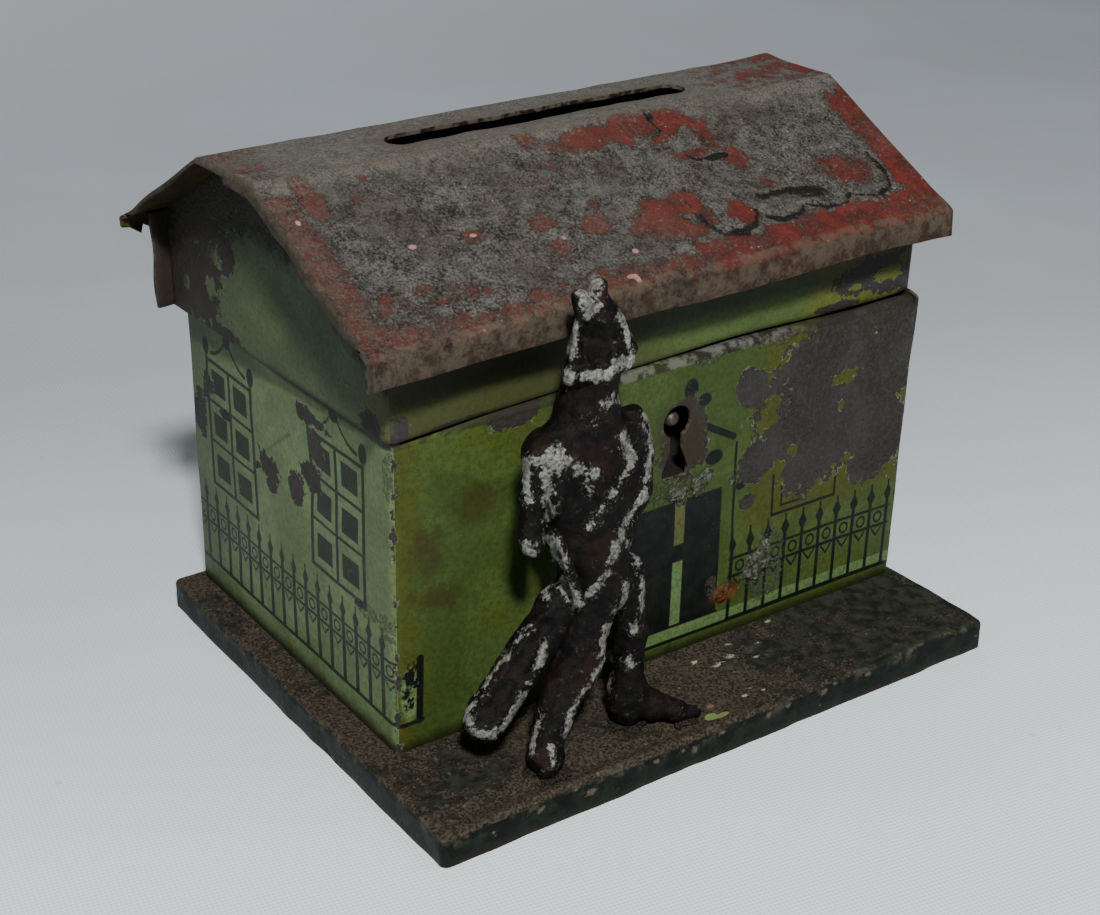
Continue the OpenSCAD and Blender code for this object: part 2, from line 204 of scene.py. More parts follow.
def skin(field, low, high, step):
    """Closed surface where field is zero, negative inside: one point in each cell that the surface crosses,
    at the mean of its edge crossings, and one quad round each grid edge that it crosses."""
    axes = [np.arange(low[i], high[i] + step, step) for i in range(3)]
    grid = np.stack(np.meshgrid(*axes, indexing="ij"), -1)
    f = field(grid)
    inside = f < 0
    n = np.array(f.shape) - 1
    total = np.zeros((*n, 3))
    count = np.zeros(n)
    for axis in range(3):
        lo = [slice(None)] * 3
        hi = [slice(None)] * 3
        lo[axis], hi[axis] = slice(0, -1), slice(1, None)
        fa, fb = f[tuple(lo)], f[tuple(hi)]
        crossed = inside[tuple(lo)] != inside[tuple(hi)]
        t = np.where(crossed, fa / np.where(crossed, fa - fb, 1), 0)
        at = grid[tuple(lo)].copy()
        at[..., axis] += t * step
        others = [a for a in range(3) if a != axis]
        for da in (0, 1):
            for db in (0, 1):
                part = [slice(None)] * 3
                part[others[0]] = slice(da, n[others[0]] + da)
                part[others[1]] = slice(db, n[others[1]] + db)
                part = tuple(part)
                total += np.where(crossed[part][..., None], at[part], 0)
                count += crossed[part]
    used = count > 0
    cell_id = np.full(n, -1)
    cell_id[used] = np.arange(used.sum())
    points = total[used] / count[used][:, None]
    faces = []
    for axis in range(3):
        a, b = [(1, 2), (2, 0), (0, 1)][axis]
        core = [slice(None)] * 3
        core[a], core[b] = slice(1, -1), slice(1, -1)
        lo, hi = list(core), list(core)
        lo[axis], hi[axis] = slice(0, -1), slice(1, None)
        first, second = inside[tuple(lo)], inside[tuple(hi)]
        for rising in (True, False):
            hit = np.argwhere((first & ~second) if rising else (~first & second))
            hit[:, a] += 1
            hit[:, b] += 1
            ring = []
            for da, db in ((-1, -1), (0, -1), (0, 0), (-1, 0)):
                cell = hit.copy()
                cell[:, a] += da
                cell[:, b] += db
                ring.append(cell_id[tuple(cell.T)])
            ring = np.stack(ring, -1)
            faces.append(ring if rising else ring[:, ::-1])
    return points, np.concatenate(faces)


# ---------------------------------------------------------------- node arithmetic

def tone(red, green, blue, gain=0.3):
    """Colour from 0-255 display values, as linear light, times gain."""
    return tuple(((c / 255 + 0.055) / 1.055) ** 2.4 * gain if c > 10 else c / 3295 * gain
                 for c in (red, green, blue)) + (1.0,)


class Value:
    """An output socket that adds, multiplies and compares like a number."""

    def __init__(self, graph, socket):
        self.graph, self.socket = graph, socket

    def __add__(self, other):
        return self.graph.math("ADD", self, other)

    def __sub__(self, other):
        return self.graph.math("SUBTRACT", self, other)

    def __rsub__(self, other):
        return self.graph.math("SUBTRACT", other, self)

    def __mul__(self, other):
        return self.graph.math("MULTIPLY", self, other)

    def __truediv__(self, other):
        return self.graph.math("DIVIDE", self, other)

    def __abs__(self):
        return self.graph.math("ABSOLUTE", self)

    __radd__, __rmul__ = __add__, __mul__


class Graph:
    """Adds nodes to a material's or a group's tree."""

    def __init__(self, tree):
        self.tree = tree

    def node(self, kind, **settings):
        made = self.tree.nodes.new(kind)
        for key, value in settings.items():
            setattr(made, key, value)
        return made

    def feed(self, socket, value):
        if isinstance(value, Value):
            self.tree.links.new(value.socket, socket)
        else:
            socket.default_value = value

    def math(self, kind, *inputs, clamp=False):
        made = self.node("ShaderNodeMath", operation=kind, use_clamp=clamp)
        for socket, value in zip(made.inputs, inputs):
            self.feed(socket, value)
        return Value(self, made.outputs[0])

    def vector(self, kind, a, b=(0, 0, 0), scale=None):
        made = self.node("ShaderNodeVectorMath", operation=kind)
        self.feed(made.inputs[0], a)
        if scale is None:
            self.feed(made.inputs[1], b)
        else:
            self.feed(made.inputs["Scale"], scale)
        return Value(self, made.outputs["Value" if kind in ("LENGTH", "DOT_PRODUCT", "DISTANCE") else 0])

    def top(self, first, *rest):
        """Largest of the values."""
        for value in rest:
            first = self.math("MAXIMUM", first, value)
        return first

    def low(self, first, *rest):
        """Smallest of the values."""
        for value in rest:
            first = self.math("MINIMUM", first, value)
        return first

    def ease(self, x, start, end):
        """0 at start, 1 at end, smooth between; start may lie above end."""
        made = self.node("ShaderNodeMapRange", interpolation_type="SMOOTHSTEP")
        for name, value in (("Value", x), ("From Min", start), ("From Max", end)):
            self.feed(made.inputs[name], value)
        return Value(self, made.outputs["Result"])

    def under(self, x, limit, soft=0.06):
        """1 where x is below limit."""
        return self.ease(x, limit + soft, limit - soft)

    def within(self, x, start, end, soft=0.06):
        """1 where x lies between start and end."""
        return self.under(abs(x - (start + end) / 2), (end - start) / 2, soft)

    def noise(self, where, size, detail=3.0, rough=0.55, twist=0.0):
        """Noise with lumps about size millimetres wide, 0 to 1 about 0.5."""
        made = self.node("ShaderNodeTexNoise")
        self.feed(made.inputs["Vector"], where)
        settings = {"Scale": 1 / size, "Detail": detail, "Roughness": rough, "Distortion": twist}
        for name, value in settings.items():
            made.inputs[name].default_value = value
        return Value(self, made.outputs["Fac"])

    def grains(self, where, size):
        """Distance to the nearest of scattered points, in units of size: small near a point."""
        made = self.node("ShaderNodeTexVoronoi", feature="F1")
        self.feed(made.inputs["Vector"], where)
        made.inputs["Scale"].default_value = 1 / size
        return Value(self, made.outputs["Distance"])

    def blend(self, amount, a, b):
        """a where amount is 0, b where it is 1."""
        made = self.node("ShaderNodeMix", data_type="RGBA")
        made.clamp_factor = True
        self.feed(made.inputs[0], amount)
        self.feed(made.inputs[6], a)
        self.feed(made.inputs[7], b)
        return Value(self, made.outputs[2])

    def split(self, where):
        made = self.node("ShaderNodeSeparateXYZ")
        self.feed(made.inputs[0], where)
        return [Value(self, made.outputs[i]) for i in range(3)]

    def flat(self, u, v, w=0.0):
        made = self.node("ShaderNodeCombineXYZ")
        for socket, value in zip(made.inputs, (u, v, w)):
            self.feed(socket, value)
        return Value(self, made.outputs[0])

    def body(self):
        """Place on the piece in millimetres."""
        made = self.node("ShaderNodeTexCoord")
        return self.vector("SCALE", Value(self, made.outputs["Object"]), scale=1 / MM)

    def plan(self):
        """Place on the undented piece in millimetres."""
        made = self.node("ShaderNodeAttribute", attribute_name="plan")
        return Value(self, made.outputs["Vector"])

    def use(self, group, **inputs):
        """Places a node group and gives its outputs by name."""
        made = self.node("ShaderNodeGroup", node_tree=group)
        for name, value in inputs.items():
            self.feed(made.inputs[name.replace("_", " ")], value)
        return {o.name: Value(self, o) for o in made.outputs}

    def patches(self, where, spots):
        """Smallest scaled distance to the ellipses (u, v, half width, half height): 1 on their outlines."""
        nearest = None
        for u, v, a, b in spots:
            scaled = self.node("ShaderNodeVectorMath", operation="MULTIPLY_ADD")
            self.feed(scaled.inputs[0], where)
            scaled.inputs[1].default_value = (1 / a, 1 / b, 0)
            scaled.inputs[2].default_value = (-u / a, -v / b, 0)
            far = self.vector("LENGTH", Value(self, scaled.outputs[0]))
            nearest = far if nearest is None else self.low(nearest, far)
        return nearest

    def strokes(self, where, lines):
        """Distance in millimetres to straight strokes (u0, v0, u1, v1, half width), less the half width."""
        nearest = None
        for u0, v0, u1, v1, half in lines:
            du, dv = u1 - u0, v1 - v0
            size = du * du + dv * dv
            arm = self.vector("SUBTRACT", where, (u0, v0, 0))
            t = self.math("MULTIPLY", self.vector("DOT_PRODUCT", arm, (du, dv, 0)), 1 / size, clamp=True)
            foot = self.vector("SCALE", (du, dv, 0), scale=t)
            gap = self.vector("DISTANCE", arm, foot) - half
            nearest = gap if nearest is None else self.low(nearest, gap)
        return nearest


def group(name, inputs, outputs, build):
    """Shader node group: build(graph, inputs by name) returns its outputs by name."""
    tree = bpy.data.node_groups.new(name, "ShaderNodeTree")
    for key, value in inputs.items():
        kind = "NodeSocketFloat" if isinstance(value, (int, float)) else (
            "NodeSocketColor" if len(value) == 4 else "NodeSocketVector")
        tree.interface.new_socket(name=key, in_out="INPUT", socket_type=kind).default_value = value
    for key, kind in outputs.items():
        tree.interface.new_socket(name=key, in_out="OUTPUT", socket_type="NodeSocket" + kind)
    g = Graph(tree)
    given = g.node("NodeGroupInput")
    results = build(g, {key: Value(g, given.outputs[key]) for key in inputs})
    out = g.node("NodeGroupOutput")
    for key, value in results.items():
        g.feed(out.inputs[key], value)
    return tree


def finish_material(name, build, metallic=0.0, specular=0.5):
    """Material whose build(graph) gives color, rough, height in millimetres and, where it varies, metal."""
    mat = bpy.data.materials.new(name)
    mat.use_nodes = True
    g = Graph(mat.node_tree)
    shader = mat.node_tree.nodes["Principled BSDF"]
    shader.inputs["Metallic"].default_value = metallic
    shader.inputs["Specular IOR Level"].default_value = specular
    parts = build(g)
    g.feed(shader.inputs["Base Color"], parts["color"])
    g.feed(shader.inputs["Roughness"], parts["rough"])
    if "metal" in parts:
        g.feed(shader.inputs["Metallic"], parts["metal"])
    if "height" in parts:
        bump = g.node("ShaderNodeBump")
        bump.inputs["Strength"].default_value = parts.get("bump", 0.8)
        bump.inputs["Distance"].default_value = MM
        g.feed(bump.inputs["Height"], parts["height"])
        mat.node_tree.links.new(bump.outputs["Normal"], shader.inputs["Normal"])
    return mat


# ---------------------------------------------------------------- shared effects

def ragged_edge(g, given):
    """Breaks a worn patch's outline. Reach is positive inside it, and Rim is the pale flaking round it."""
    where, reach, rag = given["Where"], given["Reach"], given["Rag"]
    big = g.noise(where, 2.6, 5, 0.62, 0.4)
    small = g.noise(where, 0.55, 3, 0.6)
    field = reach + (big - 0.5) * 4.6 * rag + (small - 0.5) * 2.2 * rag
    bare = g.ease(field, -0.02, 0.06)
    flake = g.ease(g.noise(where, 0.9, 4, 0.7), 0.5, 0.6)
    rim = g.ease(field, -0.26, -0.06) * (1 - bare) * flake
    return {"Bare": bare, "Rim": rim}


def bare_tin(g, given):
    """Old bare tinplate: brown-grey, cloudy, with pale scuffs and dark pin-holes."""
    where = given["Where"]
    cloud = g.ease(g.noise(where, 7, 4, 0.6, 0.5), 0.32, 0.7)
    fine = g.noise(where, 0.35, 4, 0.7)
    scuff = g.ease(g.noise(g.vector("MULTIPLY", where, (1, 1, 0.35)), 0.9, 5, 0.7), 0.6, 0.78)
    color = g.blend(cloud, tone(58, 52, 46), tone(76, 72, 69))
    color = g.blend(g.ease(g.noise(where, 3.1, 3), 0.5, 0.75) * 0.5, color, tone(64, 54, 42))
    color = g.blend(g.ease(fine, 0.42, 0.66) * 0.5, color, tone(98, 95, 90))
    color = g.blend(scuff * 0.6, color, tone(118, 115, 109))
    color = g.blend(g.under(g.grains(where, 0.8), 0.13, 0.05) * 0.6, color, tone(40, 34, 28))
    return {"Color": color, "Rough": 0.62 - fine * 0.2, "Height": fine * 0.05 + cloud * 0.03}


def grit(g, given):
    """Caked dust: Grain runs from dark to pale specks, Cover is where it lies, Height is its thickness."""
    where = given["Where"]
    fine = g.noise(where, 0.28, 5, 0.75)
    lumps = g.noise(where, 1.6, 4, 0.65)
    cloud = g.noise(where, 6.5, 3, 0.55, 0.3)
    lies = given["Amount"] + (cloud - 0.5) * 1.5 + (lumps - 0.5) * 1.3 + (fine - 0.5) * 0.8
    cover = g.ease(lies, 0.3, 0.62)
    return {"Grain": fine, "Cover": cover, "Height": cover * (fine * 0.16 + lumps * 0.1)}


def fence(g, given):
    """Row of pointed bars, one a pitch, with two upper rails, rings between them and small notches below. Up
    is measured from the bottom rail, and Half is the half width of a bar."""
    pitch = 2.385
    along, up, half = given["Along"], given["Up"], given["Half"]
    bar = abs(g.math("FRACT", along / pitch + 0.5) - 0.5) * pitch
    middle = pitch / 2 - bar
    bars = g.under(bar, half, 0.05) * g.within(up, 0, 7.1)
    point = g.under(bar / 0.58 + abs(up - 7.75) / 1.05, 1.0, 0.12)
    tip = g.under(bar, 0.13, 0.06) * g.within(up, 8.2, 9.2)
    rails = g.top(g.within(up, -0.22, 0.22), g.within(up, 4.35, 4.68), g.within(up, 6.25, 6.55))
    ring = g.under(abs(g.vector("LENGTH", g.flat(middle, up - 5.45)) - 0.52), 0.12, 0.06)
    notch = g.under(abs(up - 3.45 - middle * 1.15), 0.17, 0.06) * g.under(middle, 0.75)
    return {"Line": g.top(bars, point, tip, rails, ring, notch)}


def sash(g, given):
    """Window drawn in line: frame 9.7 by 13.7, six dark panes, end knobs and a garland to a boss above."""
    row_pitch = 4.64
    along, up = given["Along"], given["Up"]
    across = abs(along)
    frame_line = g.within(across, 4.55, 5.1) * g.within(up, -0.2, 14)
    bars = g.top(g.within(up, -0.22, 0.2), g.within(up, 13.5, 13.9), g.within(up, 4.72, 5.05),
                 g.within(up, 9.15, 9.5)) * g.under(across, 5.05)
    mullion = g.under(across, 0.25) * g.within(up, 0, 13.7)
    row = abs(g.math("FRACT", (up - 2.35) / row_pitch + 0.5) - 0.5) * row_pitch
    panes = g.under(abs(across - 2.4), 1.45) * g.under(row, 1.25) * g.within(up, 0.8, 13.2)
    knob = g.under(g.vector("LENGTH", g.flat((across - 4.85) / 0.68, (up - 15) / 1.0)), 1, 0.12)
    boss = g.under(g.vector("LENGTH", g.flat(across / 0.8, (up - 16.9) / 0.72)), 1, 0.12)
    rise = (3.9 - across) / 3.3
    garland = g.under(abs(up - 14.65 - rise * rise * 1.9), 0.2) * g.within(across, 0.5, 3.9)
    return {"Line": g.top(frame_line, bars, mullion, panes, knob, boss, garland)}


ZERO = (0.0, 0.0, 0.0)
RAGGED = group("ragged edge", {"Where": ZERO, "Reach": 0.0, "Rag": 1.0}, {"Bare": "Float", "Rim": "Float"},
               ragged_edge)
TIN = group("bare tin", {"Where": ZERO}, {"Color": "Color", "Rough": "Float", "Height": "Float"}, bare_tin)
GRIT = group("grit", {"Where": ZERO, "Amount": 0.5}, {"Grain": "Float", "Cover": "Float", "Height": "Float"},
             grit)
FENCE = group("fence", {"Along": 0.0, "Up": 0.0, "Half": 0.3}, {"Line": "Float"}, fence)
SASH = group("window", {"Along": 0.0, "Up": 0.0}, {"Line": "Float"}, sash)


# ---------------------------------------------------------------- finishes

def wear_through(g, body, color, reach, flakes, mottle, art):
    """Ends a printed wall: bare patches with a pale rim, flaking crust, and the relief of paint on tin."""
    worn = g.use(RAGGED, Where=body, Reach=reach, Rag=1.0)
    tin = g.use(TIN, Where=body)
    color = g.blend(worn["Bare"], color, tin["Color"])
    color = g.blend(worn["Rim"] * 0.75, color, tone(168, 176, 152))
    crust = g.ease(g.noise(body, 0.5, 6, 0.76) + flakes * 0.36, 0.82, 0.95) * flakes
    color = g.blend(crust * 0.8, color, g.blend(mottle, tone(84, 84, 70), tone(168, 170, 156)))
    height = (1 - worn["Bare"]) * 0.09 + crust * 0.22 + tin["Height"] * 0.8 + mottle * 0.06 - art * 0.015
    rough = 0.44 + worn["Bare"] * 0.1 + crust * 0.35 + mottle * 0.1
    return color, height, rough


def front_print(g):
    """Front wall: green with a black door, railings at the right, and a large place worn down to bare tin."""
    body = g.body()
    x, _, z = g.split(g.plan())
    on_front = g.flat(x, z)
    mottle = g.noise(body, 1.7, 4, 0.65)
    cloud = g.noise(body, 9, 4, 0.6, 0.6)
    grass = g.blend(g.ease(cloud, 0.38, 0.62), tone(84, 106, 46), tone(104, 130, 64))
    olive = g.top(g.ease(x + (mottle - 0.5) * 9, -26.5, -30) * 0.85,
                  g.ease(x + (cloud - 0.5) * 14, 7, 12) * g.ease(z + (mottle - 0.5) * 5, 12.5, 16),
                  g.ease(cloud + (mottle - 0.5) * 0.5, 0.52, 0.62) * 0.5)
    color = g.blend(olive, grass, tone(98, 104, 30))
    color = g.blend(g.within(x, 0.28, 1.55) * g.within(z, 6.3, 20.2), color,
                    g.blend(g.ease(z, 13, 15), tone(132, 166, 104), tone(120, 126, 70)))
    pale = g.top(g.within(z, 4.85, 6.05) * g.ease(x, -10, -6),
                 g.under(g.patches(on_front, [(-29.5, 9, 0.9, 2.8)]), 1, 0.2))
    color = g.blend(pale, color, tone(134, 168, 104))
    color = g.blend(g.ease(g.noise(body, 0.5, 4, 0.75), 0.42, 0.6) * 0.4, color, tone(58, 66, 32))
    speck = g.under(g.grains(body, 0.55), 0.12, 0.05) * g.ease(g.noise(body, 4, 2), 0.45, 0.62)
    color = g.blend(speck * 0.7, color, tone(34, 34, 24))
    smudge = g.patches(on_front, [(-26.8, 18.3, 2.4, 1.5), (-27.5, 23, 1.6, 3), (-22, 27, 3, 2)])
    smudge = g.under(smudge + (mottle - 0.5) * 3.6 + (cloud - 0.5) * 2, 0.7, 0.6)
    color = g.blend(smudge * 0.5, color, tone(70, 54, 24))

    railing = g.use(FENCE, Along=x - 29.3, Up=(z - 4.7) / 1.1, Half=0.22)["Line"] * g.within(x, 7.5, 29.7)
    panels = g.top(g.within(x, -9, 0.28), g.within(x, 1.55, 6.15)) * g.within(z, 6.2, 20.2, 0.1)
    latch = g.within(x, 0.2, 1.6) * g.within(z, 13.5, 15.4, 0.1)
    lines = g.strokes(on_front, [
        (7.75, 13, 7.75, 24.5, 0.16), (-9, 6.25, 6.3, 6.25, 0.14), (-9, 4.62, 30, 4.62, 0.19),
        (13, 15.1, 21.5, 15.1, 0.17), (13, 15.1, 13, 19.5, 0.15), (21.5, 15.1, 21.5, 18, 0.15),
        (14.2, 15.9, 17.4, 15.9, 0.12), (14.2, 15.9, 14.2, 18, 0.12),
        (3.0, 27.7, 7.3, 25.3, 0.36), (-28.5, 6, -28.4, 12.6, 0.36), (-31, 5.95, -28.2, 5.95, 0.22)])
    ovals = g.patches(on_front, [(1.5, 31.5, 0.85, 0.8), (3.2, 30.2, 0.85, 0.65), (4.9, 23.7, 1.1, 0.8),
                                 (8.6, 19.7, 0.7, 0.5)])
    leaves = g.patches(on_front, [(-29.4, 11.2, 0.7, 1.5), (-29.7, 8.8, 0.5, 1.3), (-28.9, 9.9, 0.5, 1.0)])
    ink = g.top(railing, panels, latch, g.under(lines, 0, 0.05), g.under(ovals, 1, 0.12),
                g.under(leaves + (g.noise(body, 0.7, 4, 0.7) - 0.5) * 5, 0.8, 0.2))
    ink = ink * g.ease(g.noise(body, 0.45, 4, 0.7) + (cloud - 0.5) * 0.4, 0.2, 0.36)
    color = g.blend(ink, color, g.blend(g.ease(mottle, 0.4, 0.7), tone(24, 27, 24), tone(38, 42, 36)))
    low_edge = g.ease(z + (mottle - 0.5) * 1.2, 4.8, 3.3)
    color = g.blend(low_edge * 0.75, color, tone(40, 38, 24))

    gone = g.patches(on_front, [
        (20.8, 26.2, 10.2, 8.4), (9.4, 29.9, 2.0, 2.0), (10.6, 21.6, 3.2, 2.0), (26.5, 20.5, 4.6, 5.2),
        (17, 19.6, 2.8, 3.2), (29, 31.5, 4, 4), (1.0, 26.7, 3.1, 4.0), (8, 34.4, 6.5, 0.9), (26, 34, 7, 2),
        (-18.4, 33.6, 2.6, 1.2), (-27, 34.4, 4, 0.5), (7.2, 8.2, 1.7, 0.9), (5.3, 10, 0.6, 0.5),
        (9.5, 17.5, 1.1, 0.8)])
    island = g.patches(on_front, [(12, 26.8, 1.5, 2.1), (21.8, 28.3, 1.9, 0.9), (10.6, 32.6, 2.2, 0.9),
                                  (15.2, 21.8, 0.7, 0.8), (21.4, 25, 0.5, 0.8)])
    corner = (abs(x) - 30.7) * 1.6 + (mottle - 0.5) * 1.6
    reach = g.top(g.low((1 - gone) * 3.4, (island - 1) * 1.6), corner)
    flakes = g.under(g.patches(on_front, [
        (13.9, 27.6, 1.5, 2.8), (16.9, 16.7, 1.2, 1.4), (-31, 30.5, 0.9, 3.4), (0.3, 21.6, 4.2, 1.7),
        (12.6, 9.6, 3.1, 4.9), (5.3, 9.1, 0.8, 1.0), (11.8, 33.4, 3, 0.6), (4, 33.4, 3, 0.5)]), 1, 0.3)
    color, height, rough = wear_through(g, body, color, reach, flakes, mottle, ink)
    rust = g.under(g.patches(on_front, [(7.2, 8.1, 1.9, 1.1)]) + (mottle - 0.5) * 1.4, 1, 0.4)
    rusty = g.blend(g.ease(mottle, 0.4, 0.65), tone(96, 54, 24), tone(150, 104, 44))
    color = g.blend(rust * 0.85, color, rusty)
    ring = g.under(g.patches(on_front, [(0.6, 27, 2.6, 3.6)]) + (mottle - 0.5) * 2.2, 1, 0.35)
    color = g.blend(ring * 0.8, color, tone(74, 62, 46))
    bead = g.ease(z, 33.25, 33.5) * g.ease(mottle + g.ease(abs(x + 2), 26, 14) * 0.3, 0.4, 0.6)
    rubbed = g.ease(abs(x - 3), 16, 7) * g.ease(mottle, 0.42, 0.58)
    color = g.blend(bead * 0.75, color, g.blend(rubbed, tone(58, 54, 44), tone(140, 140, 130)))
    return {"color": color, "rough": rough, "height": height}


def side_print(g):
    """Side and rear walls: sage green with windows over railings, chipped to bare tin."""
    body = g.body()
    x, y, z = g.split(g.plan())
    rear = g.ease((abs(x) - WALL_X) - (abs(y) - WALL_Y), 0.02, -0.02)
    left = g.under(x, 0, 0.5) * (1 - rear)
    on_left = g.flat(y, z)
    mottle = g.noise(body, 1.7, 4, 0.65)
    cloud = g.noise(body, 9, 4, 0.6, 0.6)
    # Painted light: the sage takes a gain of 0.4 and 0.42 instead of 0.3, so the side walls read as more
    # brightly lit.
    color = g.blend(g.ease(cloud, 0.35, 0.65), tone(112, 132, 86, 0.4), tone(130, 150, 104, 0.42))
    color = g.blend(g.ease(y, 4, 20) * 0.6, color, tone(104, 120, 92))
    color = g.blend(g.ease(g.noise(body, 0.5, 3, 0.7), 0.42, 0.6) * 0.3, color, tone(74, 84, 52))
    speck = g.under(g.grains(body, 0.55), 0.1, 0.05) * g.ease(g.noise(body, 4, 2), 0.48, 0.62)
    color = g.blend(speck * 0.6, color, tone(40, 44, 34))
    drip = g.under(g.strokes(on_left, [(-3, 29, 4.7, 23.3, 0.1)]) + (mottle - 0.5) * 2.2, 0, 0.25)
    color = g.blend(drip * left * 0.5, color, tone(70, 58, 36))

    along = g.blend(rear, y, abs(x) - 6.5)
    ink = g.top(g.use(FENCE, Along=along + 18, Up=z - 6.1, Half=0.31)["Line"],
                g.use(SASH, Along=along + 10.2, Up=z - 16.3)["Line"] * (1 - rear),
                g.use(SASH, Along=along - 10.7, Up=z - 15.9)["Line"])
    ink = ink * g.ease(g.noise(body, 0.45, 4, 0.7) + (cloud - 0.5) * 0.5, 0.22, 0.38)
    color = g.blend(ink * 0.93, color, g.blend(g.ease(mottle, 0.4, 0.7), tone(30, 36, 30), tone(50, 58, 48)))
    low_edge = g.ease(z + (mottle - 0.5) * 1.2, 5.0, 3.3)
    color = g.blend(low_edge * 0.8, color, tone(46, 44, 24))
    seam_edge = g.ease(z + (mottle - 0.5) * 0.5, 33.1, 33.5)
    color = g.blend(seam_edge * 0.85, color, tone(52, 42, 34))

    gone = g.patches(on_left, [
        (-6.4, 31.3, 2.6, 0.8), (-4.4, 31.2, 1.1, 1.0), (-6.7, 28.5, 1.4, 2.2), (-5.4, 25.1, 1.9, 1.3),
        (-2.8, 22.7, 1.3, 1.6), (2.8, 22.9, 2.2, 1.5), (2.7, 21, 1.0, 0.8), (5.2, 22.1, 0.9, 0.5),
        (15.5, 26.9, 1.7, 1.4), (17.9, 23, 1.5, 2.4), (12, 24.8, 1.0, 0.5), (-20.4, 27.6, 0.8, 0.8),
        (-14.3, 16, 1.1, 0.5), (20.6, 9, 0.6, 2), (20.6, 30, 0.5, 3)])
    unseen = (g.noise(body, 11, 3, 0.5) - 0.63) * 9
    corner = (abs(y) - 19.9) * 1.6 * (1 - rear) + (abs(x) - 30.7) * 1.6 * rear + (mottle - 0.5) * 1.6
    reach = g.top(g.blend(left, unseen, (1 - gone) * 1.5), corner)
    flakes = g.under(g.patches(on_left, [
        (-19.6, 30.8, 1.4, 2.8), (-19, 15.8, 2.2, 1.5), (-15.4, 15.9, 2.3, 1.0), (-20.3, 9.5, 0.7, 3.4),
        (20, 21, 0.9, 4)]), 1, 0.3) * left
    color, height, rough = wear_through(g, body, color, reach, flakes, mottle, ink)
    return {"color": color, "rough": rough, "height": height}


def inside_tin(g):
    """Inner faces: dull tin gone brown."""
    tin = g.use(TIN, Where=g.body())
    color = g.blend(0.55, tin["Color"], tone(66, 54, 40))
    return {"color": color, "rough": tin["Rough"], "height": tin["Height"]}


def plain_tin(g):
    """Small parts of bare tinplate."""
    tin = g.use(TIN, Where=g.body())
    return {"color": tin["Color"], "rough": tin["Rough"], "height": tin["Height"]}


def cut_edge(g):
    """Sheared edges of the sheet: rubbed paint over grey tin."""
    body = g.body()
    rub = g.ease(g.noise(body, 0.9, 4, 0.65), 0.42, 0.58)
    color = g.blend(rub, tone(44, 38, 30), tone(112, 104, 88))
    return {"color": color, "rough": 0.55 + rub * 0.15, "height": g.noise(body, 0.3, 3) * 0.06}


